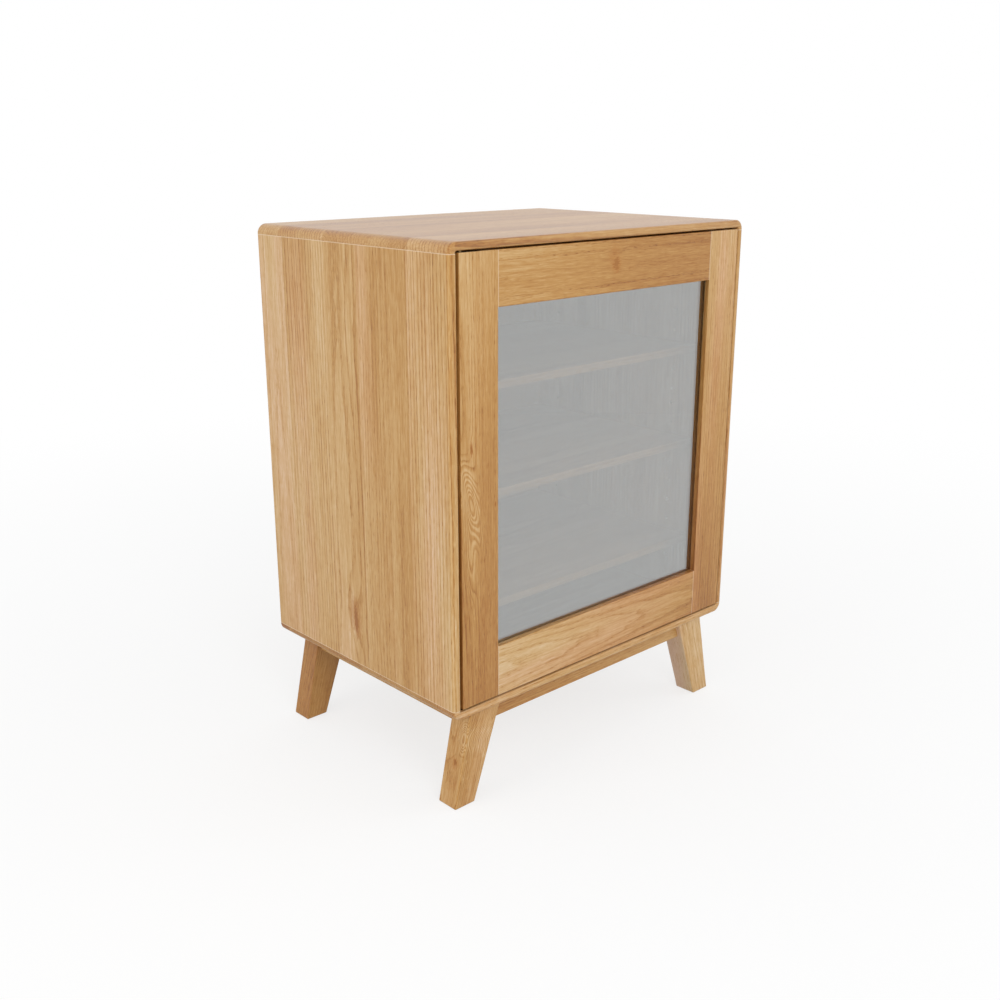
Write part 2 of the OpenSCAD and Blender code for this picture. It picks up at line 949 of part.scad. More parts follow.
module strike_screw_set(hole = false) {
  for (x = strike_screw_xs)
    translate([x, door_y1 + strike_t, latch_z])
      rotate([90, 0, 0])
        flat_screw(strike_screw_r, strike_screw_head_r, strike_screw_l, hole);
}

module strike_plate() {
  color(steel)
    difference() {
      block(
        [latch_x - strike_w / 2, latch_x + strike_w / 2],
        [door_y1, door_y1 + strike_t],
        [latch_z - strike_h / 2, latch_z + strike_h / 2]
      );
      strike_screw_set(hole = true);
    }
}

module strike_screws() {
  color(steel) strike_screw_set();
}

top_panel();
bottom_panel();
side_left();
side_right();
case_dowels();
back_panel();
back_screws();
cable_grommets();
shelf_upper();
shelf_middle();
shelf_lower();
shelf_pins();
hinge_bush_top();
hinge_bush_bottom();
latch_body();
latch_screws();
latch_spring();
leg_front_left();
leg_front_right();
leg_back_left();
leg_back_right();
rail_front();
rail_back();
rail_left();
rail_right();
leg_dowels();
base_screws();
door_stile_hinge();
door_stile_latch();
door_rail_top();
door_rail_bottom();
door_glass();
bead_top();
bead_bottom();
bead_left();
bead_right();
bead_brads();
hinge_leaf_top();
hinge_leaf_bottom();
hinge_screws();
strike_plate();
strike_screws();
latch_plunger();
latch_magnet();
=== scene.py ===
import json
import math

import bmesh
import bpy
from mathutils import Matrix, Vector
from mathutils.bvhtree import BVHTree


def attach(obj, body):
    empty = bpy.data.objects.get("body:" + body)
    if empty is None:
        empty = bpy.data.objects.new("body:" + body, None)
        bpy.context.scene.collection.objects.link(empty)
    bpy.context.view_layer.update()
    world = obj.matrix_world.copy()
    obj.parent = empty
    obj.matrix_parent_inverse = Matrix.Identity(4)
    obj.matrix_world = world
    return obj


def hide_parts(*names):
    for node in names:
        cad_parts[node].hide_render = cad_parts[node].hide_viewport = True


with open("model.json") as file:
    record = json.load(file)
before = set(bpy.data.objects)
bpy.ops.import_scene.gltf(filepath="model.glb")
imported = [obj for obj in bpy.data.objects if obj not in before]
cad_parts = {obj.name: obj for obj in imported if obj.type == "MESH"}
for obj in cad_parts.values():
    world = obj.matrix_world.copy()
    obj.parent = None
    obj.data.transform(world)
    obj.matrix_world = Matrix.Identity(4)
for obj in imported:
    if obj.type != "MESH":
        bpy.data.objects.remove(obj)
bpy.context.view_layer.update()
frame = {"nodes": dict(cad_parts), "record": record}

scene = bpy.context.scene
record = frame["record"]
cadNodes = frame["nodes"]
bodyOf = {node: body for body, members in record["behaviour"]["bodies"].items() for node in members}


# Node trees: a wire is a socket that can stand in a sum, and each sign adds a Math node

class Wire:
    def __init__(self, wiring, socket):
        self.wiring = wiring
        self.socket = socket

    def __add__(self, other):
        return self.wiring.math("ADD", self, other)

    def __radd__(self, other):
        return self.wiring.math("ADD", other, self)

    def __sub__(self, other):
        return self.wiring.math("SUBTRACT", self, other)

    def __rsub__(self, other):
        return self.wiring.math("SUBTRACT", other, self)

    def __mul__(self, other):
        return self.wiring.math("MULTIPLY", self, other)

    def __truediv__(self, other):
        return self.wiring.math("DIVIDE", self, other)

    def __neg__(self):
        return self.wiring.math("MULTIPLY", self, -1.0)


# a node in its tree; its outputs are wires, by name or number
class Placed:
    def __init__(self, wiring, node):
        self.wiring = wiring
        self.node = node

    def __getitem__(self, output):
        return Wire(self.wiring, self.node.outputs[output])

    # a wire is linked to the input of that name or number, and a plain value is set on it
    def feed(self, feeds):
        for name, value in feeds.items():
            if isinstance(value, Wire):
                self.wiring.tree.links.new(value.socket, self.node.inputs[name])
            else:
                self.node.inputs[name].default_value = value


class Wiring:
    def __init__(self, tree):
        self.tree = tree

    # settings are the node's properties, which decide what inputs it has
    def add(self, kind, feeds=None, **settings):
        node = self.tree.nodes.new(kind)
        node.location = (180 * len(self.tree.nodes), 0)
        for name, value in settings.items():
            setattr(node, name, value)
        placed = Placed(self, node)
        placed.feed(feeds or {})
        return placed

    def math(self, operation, *values):
        return self.add("ShaderNodeMath", dict(enumerate(values)), operation=operation)[0]

    def vector(self, operation, *values, out=0):
        return self.add("ShaderNodeVectorMath", dict(enumerate(values)), operation=operation)[out]

    def scale(self, vector, factor):
        return self.add("ShaderNodeVectorMath", {0: vector, "Scale": factor}, operation="SCALE")[0]

    def split(self, vector):
        return self.add("ShaderNodeSeparateXYZ", {0: vector})

    def join(self, x, y, z):
        return self.add("ShaderNodeCombineXYZ", {0: x, 1: y, 2: z})[0]

    # low to high becomes start to end, with soft ends
    def ease(self, value, low, high, start=0.0, end=1.0):
        feeds = {"Value": value, "From Min": low, "From Max": high, "To Min": start, "To Max": end}
        return self.add("ShaderNodeMapRange", feeds, interpolation_type="SMOOTHSTEP")["Result"]

    def noise(self, vector, detail=1.0):
        return self.add("ShaderNodeTexNoise", {"Vector": vector, "Scale": 1.0, "Detail": detail})["Fac"]

    def blend(self, share, first, second):
        return self.add("ShaderNodeMix", {0: share, 6: first, 7: second}, data_type="RGBA")[2]

    def ramp(self, value, stops, kind="LINEAR"):
        placed = self.add("ShaderNodeValToRGB", {0: value})
        ramp = placed.node.color_ramp
        ramp.interpolation = kind
        while len(ramp.elements) < len(stops):
            ramp.elements.new(0.5)
        for element, (place, colour) in zip(ramp.elements, stops):
            element.position = place
            element.color = colour
        return placed

    def group(self, tree, feeds):
        return self.add("ShaderNodeGroup", feeds, node_tree=tree)


# the kind of socket that holds a value; a word is the kind of a socket that has none
def kindOf(value):
    if isinstance(value, str):
        return value
    if isinstance(value, tuple):
        return "Color" if len(value) == 4 else "Vector"
    return "Int" if isinstance(value, int) else "Float"


def newGroup(name, kind, inputs, outputs):
    tree = bpy.data.node_groups.new(name, kind)
    for label, value in inputs.items():
        socket = tree.interface.new_socket(label, in_out="INPUT", socket_type="NodeSocket" + kindOf(value))
        if not isinstance(value, str):
            socket.default_value = value
    for label, socketKind in outputs.items():
        tree.interface.new_socket(label, in_out="OUTPUT", socket_type="NodeSocket" + socketKind)
    w = Wiring(tree)
    return w, w.add("NodeGroupInput")


# Shader groups; in timber X runs along the grain

def makeGluedStaves():
    inputs = {"Across": 0.0, "Stave Width": 0.08, "Shift": 0.0}
    w, given = newGroup("gluedStaves", "ShaderNodeTree", inputs, {"Stave": "Color", "Centre": "Float"})
    place = (given["Across"] + given["Shift"]) / given["Stave Width"]
    feeds = {"W": place, "Scale": 1.0, "Randomness": 0.45}
    cell = w.add("ShaderNodeTexVoronoi", feeds, voronoi_dimensions="1D")
    middle = cell["W"] * given["Stave Width"] - given["Shift"]
    w.add("NodeGroupOutput", {"Stave": cell["Color"], "Centre": middle})
    return w.tree


knotShape = {"grit": (150, 600, 600), "gritShare": 0.9, "coreRim": 0.75, "coreFull": 0.2}
knotMeasures = ("Place", "Length", "Width", "Swell", "Core", "Lean")      # the order in each list of knots


# a knot pushes the growth rings aside and has a dark core
def makeKnot():
    inputs = {"Vector": "Vector", "Place": (0, 0, 0), "Length": 0.02, "Width": 0.01, "Swell": 0.008, "Core": 1.0,
              "Lean": 0.0, "Other Swell": 0.0, "Other Core": 0.0}
    w, given = newGroup("knot", "ShaderNodeTree", inputs, {"Swell": "Float", "Core": "Float"})
    off = w.split(w.vector("SUBTRACT", given["Vector"], given["Place"]))
    along = off["X"] / given["Length"]
    across = (off["Y"] - off["X"] * given["Lean"]) / given["Width"]
    grit = (w.noise(w.vector("MULTIPLY", given["Vector"], knotShape["grit"])) - 0.5) * knotShape["gritShare"]
    square = along * along + across * across
    hill = w.math("EXPONENT", -square)
    core = w.ease(w.math("SQRT", square) + grit, knotShape["coreRim"], knotShape["coreFull"])
    w.add("NodeGroupOutput", {
        "Swell": hill * given["Swell"] + given["Other Swell"],
        "Core": w.math("MAXIMUM", core * given["Core"], given["Other Core"]),
    })
    return w.tree


oakColours = (
    (0.00, (0.210, 0.074, 0.014, 1)),
    (0.30, (0.375, 0.156, 0.031, 1)),
    (0.55, (0.496, 0.260, 0.074, 1)),
    (0.78, (0.600, 0.375, 0.158, 1)),
    (1.00, (0.700, 0.510, 0.300, 1)),
)
oakFigure = {      # each noise: changes in a metre along the grain and across it, and detail
    "bow": (2.2, 9.0, 2.0), "shiver": (22.0, 130.0, 1.0), "pores": (95.0, 1500.0, 1.0), "fibre": (7.0, 330.0, 2.0),
    "fleck": (42.0, 620.0, 1.0), "cloud": (1.5, 24.0, 2.0), "haze": (1.1, 6.0, 1.0), "blush": (1.7, 17.0, 1.0),
}
oakRings = {
    "seedShift": (3.1, 0.7, 1.3), "shiver": 0.22, "yearStep": 0.45, "yearShift": 1.6, "curlFade": 0.5,
    "leastDepth": 0.35,      # of the pith, as a share of its depth
    "levelAt": 0.35,         # the blue of a stave whose rings don't climb along it
    "earlyPores": 0.75, "latePores": 0.3,
    "ray": (75.0, 900.0, 70.0),      # changes in a metre along the grain, round the pith and away from it
}
oakLimits = {      # where a pattern starts and where it is full, then its least and most where they aren't 0 and 1
    "early": (0.5, 0.0), "earlyStart": (0.0, 0.06), "late": (0.35, 0.6), "lateEnd": (1.0, 0.8),
    "years": (0.3, 0.7, 0.45, 1.0), "staves": (0.0, 0.8, 0.35, 1.1), "curl": (0.002, 0.010),
    "pores": (0.54, 0.68), "rays": (0.60, 0.74), "edge": (0.35, 0.95), "endGrain": (0.55, 0.95),
    "blush": (0.42, 0.66), "worn": (0.0013, 0.0006, 0.0, 0.55),
    "halo": (0.0, 0.5, 0.0, 0.65), "knot": (0.45, 1.0, 0.0, 0.85),
}
oakShares = {      # how much each pattern lightens the tone
    "middle": 0.60, "cloud": 0.60, "haze": 0.35, "fibre": 0.40, "fleck": 0.50, "rays": 0.10, "shine": 0.20,
}
oakSheen = {
    "roughness": 0.40, "fibre": 0.10, "pores": 0.16, "endGrain": 0.12,
    "fibreHeight": 0.35, "poreDepth": 0.9, "ringDepth": 0.35,
}
oakTints = {
    "blush": (1.06, 1.0, 1.22), "endGrain": (0.84, 0.76, 0.66), "endGrainShare": 0.2,
    "worn": (0.80, 0.66, 0.50, 1), "halo": (0.42, 0.165, 0.028, 1), "knot": (0.300, 0.100, 0.008, 1),
}


# oak as a solid: growth rings round a pith below or beside each stave, pores, rays and fibres
def makeOakGrain():
    inputs = {
        "Vector": "Vector", "Normal": "Vector", "Stave": (0.5, 0.5, 0.5, 1), "Centre": 0.0,
        "Swell": 0.0, "Core": 0.0, "Face": 0.0, "Ring Width": 0.003, "Pith Depth": 0.05, "Pith Side": 0.06,
        "Slope": 0.03, "Wander": 0.004, "Tone": 0.0, "Tone Fall": 0.0, "Stave Contrast": 0.2,
        "Ring Spread": 0.6, "Ring Contrast": 0.3, "Pore Contrast": 0.35, "Streaks": 1.0,
        "Edge Shade": 0.0, "End Tone": 0.08, "Pink": 0.3, "Low End": -9.0, "High End": 9.0,
    }
    outputs = {"Color": "Color", "Roughness": "Float", "Height": "Float"}
    w, given = newGroup("oakGrain", "ShaderNodeTree", inputs, outputs)
    place = w.split(given["Vector"])
    facing = w.split(given["Normal"])
    chance = w.add("ShaderNodeSeparateColor", {0: given["Stave"]})
    seedShift = w.vector("MULTIPLY", given["Stave"], oakRings["seedShift"])
    seeded = w.vector("ADD", given["Vector"], seedShift)

    def figure(name):
        along, across, detail = oakFigure[name]
        return w.noise(w.vector("MULTIPLY", seeded, (along, across, across)), detail)

    def limited(value, name):
        return w.ease(value, *oakLimits[name])

    # rings
    fromY = place["Y"] - given["Centre"] - (chance["Red"] - 0.5) * given["Pith Side"]
    fromZ = place["Z"] - given["Face"] + (chance["Green"] + oakRings["leastDepth"]) * given["Pith Depth"]
    reach = w.math("SQRT", fromY * fromY + fromZ * fromZ)
    angle = w.math("ARCTAN2", fromY, fromZ)
    bow = (figure("bow") - 0.5) * given["Wander"]
    shiver = (figure("shiver") - 0.5) * (given["Wander"] * oakRings["shiver"])
    climb = place["X"] * given["Slope"] * (chance["Blue"] - oakRings["levelAt"])
    moved = reach + bow + (climb + shiver + given["Swell"])
    spread = 1.0 + (chance["Red"] - 0.5) * given["Ring Spread"]
    count = moved / (given["Ring Width"] * spread)
    years = w.noise(w.join(count * oakRings["yearStep"], chance["Red"], 0.0))
    part = w.math("FRACT", count + years * oakRings["yearShift"])
    early = limited(part, "early") * limited(part, "earlyStart")
    strength = limited(years, "years") * limited(chance["Green"], "staves")
    curl = limited(given["Swell"], "curl")      # beside a knot the late wood shines between fainter rings
    shine = curl * (limited(part, "late") * limited(part, "lateEnd"))
    ring = early * strength * (1.0 - curl * oakRings["curlFade"])

    # pores, rays and fibres
    pores = limited(figure("pores"), "pores") * (early * oakRings["earlyPores"] + oakRings["latePores"])
    along, around, away = oakRings["ray"]
    rayPlace = w.join(place["X"] * along, angle * reach * around, reach * away)
    rays = limited(w.noise(w.vector("ADD", rayPlace, seedShift)), "rays")
    fibre = figure("fibre") - 0.5
    mottle = ((figure("cloud") - 0.5) * oakShares["cloud"] + (figure("haze") - 0.5) * oakShares["haze"]
              + fibre * oakShares["fibre"] + (figure("fleck") - 0.5) * oakShares["fleck"])

    # tone, from dark to pale; faces whose normal runs across the grain get painted shade, and painted light where
    # their edge setting is below 0
    edge = limited(w.math("ABSOLUTE", facing["Y"]), "edge")
    endGrain = limited(w.math("ABSOLUTE", facing["X"]), "endGrain")
    tone = (oakShares["middle"] + given["Tone"] + place["X"] * given["Tone Fall"]
            + (chance["Blue"] - 0.5) * given["Stave Contrast"] + mottle * given["Streaks"]
            - ring * given["Ring Contrast"] - pores * given["Pore Contrast"]
            + rays * oakShares["rays"] + shine * oakShares["shine"]
            - edge * given["Edge Shade"] + endGrain * given["End Tone"])
    colour = w.ramp(tone, oakColours)["Color"]
    blush = limited(figure("blush"), "blush") * given["Pink"]
    colour = w.blend(blush, colour, w.vector("MULTIPLY", colour, oakTints["blush"]))
    ended = w.vector("MULTIPLY", colour, oakTints["endGrain"])
    colour = w.blend(endGrain * oakTints["endGrainShare"], colour, ended)
    # a painted highlight: a pale line close to each end stands for the light caught by the arrises at the joints
    fromEnd = w.math("MINIMUM", given["High End"] - place["X"], place["X"] - given["Low End"])
    for name, value in (("worn", fromEnd), ("halo", given["Core"]), ("knot", given["Core"])):
        colour = w.blend(limited(value, name), colour, oakTints[name])

    # satin lacquer that sinks a little into the pores
    w.add("NodeGroupOutput", {
        "Color": colour,
        "Roughness": (oakSheen["roughness"] + fibre * oakSheen["fibre"] + pores * oakSheen["pores"]
                      + endGrain * oakSheen["endGrain"]),
        "Height": fibre * oakSheen["fibreHeight"] - pores * oakSheen["poreDepth"] - ring * oakSheen["ringDepth"],
    })
    return w.tree


wear = {"cloud": 0.7, "grit": 0.3, "from": 0.3, "to": 0.7, "shade": (0.25, 0.75, 0.86, 1.06)}


# cloudy marks and fine grit for metal, plastic and glass
def makeHandling():
    inputs = {"Vector": "Vector", "Grit Scale": 900.0, "Cloud Scale": 25.0, "Low": 0.3, "High": 0.45}
    outputs = {"Roughness": "Float", "Height": "Float", "Shade": "Float"}
    w, given = newGroup("handling", "ShaderNodeTree", inputs, outputs)
    grit = w.noise(w.scale(given["Vector"], given["Grit Scale"]), 2.0)
    cloud = w.noise(w.scale(given["Vector"], given["Cloud Scale"]), 2.0)
    rough = w.ease(cloud * wear["cloud"] + grit * wear["grit"], wear["from"], wear["to"], given["Low"], given["High"])
    shade = w.ease(cloud, *wear["shade"])
    w.add("NodeGroupOutput", {"Roughness": rough, "Height": grit, "Shade": shade})
    return w.tree


gluedStaves = makeGluedStaves()
knot = makeKnot()
oakGrain = makeOakGrain()
handling = makeHandling()


# Materials

def newMaterial(name):
    material = bpy.data.materials.new(name)
    material.use_nodes = True
    material.node_tree.nodes.clear()
    w = Wiring(material.node_tree)
    shader = w.add("ShaderNodeBsdfPrincipled")
    surface = w.add("ShaderNodeOutputMaterial", {"Surface": shader[0]})
    return material, w, shader, surface


def relief(w, shader, height, depth):
    bump = w.add("ShaderNodeBump", {"Height": height, "Distance": depth, "Strength": 1.0})
    shader.feed({"Normal": bump[0]})


lacquer = {"coat": 0.1, "coatRoughness": 0.32, "ior": 1.45, "reliefDepth": 0.00012}


# order says which object axes run along the grain, across it and through the board
def oakMaterial(name, order, look, staves=None, staveWidth=None, shift=0.0, knots=(), turn=(0, 0, 0), coat=None):
    material, w, shader, surface = newMaterial(name)
    coordinates = w.add("ShaderNodeTexCoord")

    def ordered(kind, vector):
        turned = w.add("ShaderNodeMapping", {"Vector": vector, "Rotation": turn}, vector_type=kind)
        parts = w.split(turned[0])
        return w.join(*[parts[axis] for axis in order])

    place = ordered("POINT", coordinates["Object"])
    feeds = {"Vector": place, "Normal": ordered("NORMAL", coordinates["Normal"])}
    if staves:
        low, wide = staves["from"], staves["to"] - staves["from"]
        ends = [start for start, chance in staves["boards"][1:]] + [staves["to"]]
        stops = []
        for (start, chance), end in zip(staves["boards"], ends):
            middle = ((start + end) / 2 - low) / wide
            stops.append(((start - low) / wide, (*chance, middle)))
        found = w.ramp((w.split(place)["Y"] - low) / wide, stops, "CONSTANT")
        feeds.update({"Stave": found["Color"], "Centre": found["Alpha"] * wide + low})
    elif staveWidth:
        glued = w.group(gluedStaves, {"Across": w.split(place)["Y"], "Stave Width": staveWidth, "Shift": shift})
        feeds.update({"Stave": glued["Stave"], "Centre": glued["Centre"]})
    others = {}
    for made in knots:
        mark = w.group(knot, {"Vector": place, **dict(zip(knotMeasures, made)), **others})
        feeds.update({"Swell": mark["Swell"], "Core": mark["Core"]})
        others = {"Other Swell": mark["Swell"], "Other Core": mark["Core"]}
    grain = w.group(oakGrain, {**feeds, **look})
    shader.feed({
        "Base Color": grain["Color"], "Roughness": grain["Roughness"], "Coat Weight": coat or lacquer["coat"],
        "Coat Roughness": lacquer["coatRoughness"], "IOR": lacquer["ior"],
    })
    relief(w, shader, grain["Height"], lacquer["reliefDepth"])
    return material


def handledMaterial(name, colour, metallic, low, high, reliefDepth, gritScale=900.0):
    material, w, shader, surface = newMaterial(name)
    place = w.add("ShaderNodeTexCoord")["Object"]
    marks = w.group(handling, {"Vector": place, "Low": low, "High": high, "Grit Scale": gritScale})
    shaded = w.scale(colour, marks["Shade"])
    shader.feed({"Base Color": shaded, "Roughness": marks["Roughness"], "Metallic": metallic})
    relief(w, shader, marks["Height"], reliefDepth)
    return material


finishes = {
    "brightSteel": {"colour": (0.60, 0.60, 0.585), "metallic": 1.0, "low": 0.26, "high": 0.42, "reliefDepth": 0.00003},
    "darkBronze": {"colour": (0.30, 0.20, 0.095), "metallic": 1.0, "low": 0.32, "high": 0.52, "reliefDepth": 0.00003},
    "blackPlastic": {"colour": (0.022, 0.022, 0.024), "metallic": 0.0, "low": 0.42, "high": 0.58,
                     "reliefDepth": 0.00008, "gritScale": 1600.0},
}
steel, bronze, blackPlastic = [handledMaterial(name, **finish) for name, finish in finishes.items()]

pane = {"colour": (0.80, 0.812, 0.806, 1), "ior": 1.5, "mirror": 0.272, "low": 0.0, "high": 0.03, "cloudScale": 9.0}
clearGlass, w, shader, surface = newMaterial("clearGlass")
place = w.add("ShaderNodeTexCoord")["Object"]
feeds = {"Vector": place, "Low": pane["low"], "High": pane["high"], "Cloud Scale": pane["cloudScale"]}
shader.feed({
    "Base Color": pane["colour"], "Transmission Weight": 1.0, "Metallic": pane["mirror"], "IOR": pane["ior"],
    "Roughness": w.group(handling, feeds)["Roughness"],
})
print("materials: metal, plastic and glass ready")


# Timber pieces: each is a copy of its CAD solid with broken arrises

triangles, corners, ownerOf = [], [], []
for name, node in cadNodes.items():
    first = len(corners)
    corners.extend(vertex.co.copy() for vertex in node.data.vertices)
    for polygon in node.data.polygons:
        triangles.append([first + v for v in polygon.vertices])
        ownerOf.append(name)
allSolids = BVHTree.FromPolygons(corners, triangles)

timber = {
    "weldDistance": 0.00001,
    "flatAngle": 0.6,        # degrees; triangles flatter than this to each other become one face
    "sharpAngle": 35.0,
    "touching": 0.0004,      # an edge this close to another solid is a joint
    "fullAngle": 80.0,       # an edge bent by less than this has a narrower arris
    "rimShare": 0.2,
    "rimSize": 0.09,         # a separate ring of edges smaller than this is the rim of a hole
    "segments": 3,
}


def touchesOther(point, name):
    found = allSolids.find_nearest_range(point, timber["touching"])
    return any(ownerOf[index] != name for _, _, index, _ in found)


# the arris width of each edge as a share of the piece's own width
def breakArrises(shape, name):
    layer = shape.edges.layers.float.new("bevel_weight_edge")
    sharp = math.radians(timber["sharpAngle"])
    chosen = [e for e in shape.edges if len(e.link_faces) == 2 and e.is_convex and e.calc_face_angle() > sharp]
    island = {}
    for edge in chosen:
        joined = {edge}
        for vertex in edge.verts:
            joined |= island.get(vertex, {edge})
        for member in joined:
            for vertex in member.verts:
                island[vertex] = joined
    sizes = {}
    for edge in chosen:
        joined = island[edge.verts[0]]
        if id(joined) not in sizes:
            points = [v.co for member in joined for v in member.verts]
            span = [max(p[i] for p in points) - min(p[i] for p in points) for i in range(3)]
            sizes[id(joined)] = Vector(span).length
        middle = (edge.verts[0].co + edge.verts[1].co) / 2
        if sizes[id(joined)] < timber["rimSize"]:
            edge[layer] = timber["rimShare"]
        elif not touchesOther(middle, name):
            bend = math.degrees(edge.calc_face_angle()) - timber["sharpAngle"]
            edge[layer] = min(1.0, bend / (timber["fullAngle"] - timber["sharpAngle"]))


# side_left becomes sideLeft
def pieceName(node):
    first, *others = node.split("_")
    return first + "".join(word.capitalize() for word in others)


def welded(mesh):
    shape = bmesh.new()
    shape.from_mesh(mesh)
    bmesh.ops.remove_doubles(shape, verts=shape.verts, dist=timber["weldDistance"])
    return shape


# a mesh becomes the piece that stands for one CAD node; a width breaks its weighted edges
def putPiece(name, mesh, arris=None):
    mesh.shade_smooth()
    mesh.set_sharp_from_angle(angle=math.radians(timber["sharpAngle"]))
    piece = bpy.data.objects.new(pieceName(name), mesh)
    scene.collection.objects.link(piece)
    if arris:
        bevel = piece.modifiers.new("arris", "BEVEL")
        bevel.limit_method = "WEIGHT"
        bevel.width = arris
        bevel.segments = timber["segments"]
        bevel.use_clamp_overlap = False
        evened = piece.modifiers.new("evenNormals", "WEIGHTED_NORMAL")
        evened.keep_sharp = True
    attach(piece, bodyOf[name])
    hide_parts(name)


# cuts are planes, as a point and a normal, that part a face so that its arris can end there
def easedPiece(name, material, arris, cuts=()):
    mesh = cadNodes[name].data.copy()
    mesh.name = pieceName(name)
    shape = welded(mesh)
    flat = math.radians(timber["flatAngle"])
    bmesh.ops.dissolve_limit(shape, angle_limit=flat, verts=shape.verts, edges=shape.edges)
    for point, normal in cuts:
        everything = shape.verts[:] + shape.edges[:] + shape.faces[:]
        bmesh.ops.bisect_plane(shape, geom=everything, dist=timber["weldDistance"], plane_co=point, plane_no=normal)
    breakArrises(shape, name)
    shape.to_mesh(mesh)
    shape.free()
    mesh.materials.clear()
    mesh.materials.append(material)
    putPiece(name, mesh, arris)


def oakPiece(name, order, arris, cuts=(), **oak):
    easedPiece(name, oakMaterial(pieceName(name) + "Oak", order, **oak), arris, cuts)


# Geometry Nodes trees

def carve(w, body, cutters):
    carved = w.add("GeometryNodeMeshBoolean", {"Mesh 1": body}, operation="DIFFERENCE", solver="EXACT")
    for cutter in cutters:
        carved.feed({"Mesh 2": cutter})
    return carved[0]


def endTree(w, shape, material):
    real = w.add("GeometryNodeRealizeInstances", {"Geometry": shape})[0]
    w.add("NodeGroupOutput", {0: w.add("GeometryNodeSetMaterial", {"Geometry": real, "Material": material})[0]})
    return w.tree


# runs a tree with the given sizes and keeps what it makes as a plain mesh
def grow(name, tree, sizes, start=None):
    holder = bpy.data.objects.new(name + "Source", start or bpy.data.meshes.new(name + "Source"))
    scene.collection.objects.link(holder)
    modifier = holder.modifiers.new("grow", "NODES")
    modifier.node_group = tree
    for item in tree.interface.items_tree:
        if item.item_type == "SOCKET" and item.in_out == "INPUT" and item.name in sizes:
            modifier[item.identifier] = sizes[item.name]
    seen = bpy.context.evaluated_depsgraph_get()
    mesh = bpy.data.meshes.new_from_object(holder.evaluated_get(seen), preserve_all_data_layers=True, depsgraph=seen)
    mesh.name = name
    bpy.data.objects.remove(holder)
    return mesh


# Top and bottom boards

topBoard = {
    "height": 0.77, "turn": 0.0, "pinX": -0.2665, "recessArris": 0.0027,
    "oak": {
        "staves": {"from": -0.21, "to": 0.21, "boards": (
            (-0.21, (0.95, 0.70, 0.58)), (-0.128, (0.36, 0.10, 0.40)), (-0.035, (0.60, 0.20, 0.45)),
            (0.05, (0.96, 0.80, 0.60)), (0.112, (0.90, 0.70, 0.54)), (0.156, (0.38, 0.15, 0.42)),
        )},
        "coat": 0.5,
        # the edge setting below 0 is painted light on the board's front and back edges
        "look": {"Tone": -0.085, "Face": 0.77, "Ring Width": 0.0056, "Ring Spread": 0.0, "Pith Depth": 0.060,
                 "Pith Side": 0.45, "Ring Contrast": 0.38, "Stave Contrast": 0.35, "Edge Shade": -0.08,
                 "End Tone": 0.15, "Pink": 0.15},
    },
}
bottomBoard = {
    "height": 0.142, "turn": math.pi, "pinX": 0.2665, "recessArris": 0.0030,
    "oak": {
        "staveWidth": 0.085, "shift": 0.31,
        # the edge setting is painted shade on the board's front and back edges
        "look": {"Tone": 0.20, "Face": 0.142, "Ring Width": 0.0040, "Pith Depth": 0.07, "Pith Side": 0.3,
                 "Edge Shade": 0.05, "End Tone": -0.36, "Pink": 0.5},
    },
}
endBoard = {      # where the recess for the door has its arris
    "halfDepth": 0.21, "faceSlack": 0.0001, "recessHalfWidth": 0.2795, "flatOutside": 0.009, "sharpAngle": 60.0,
}


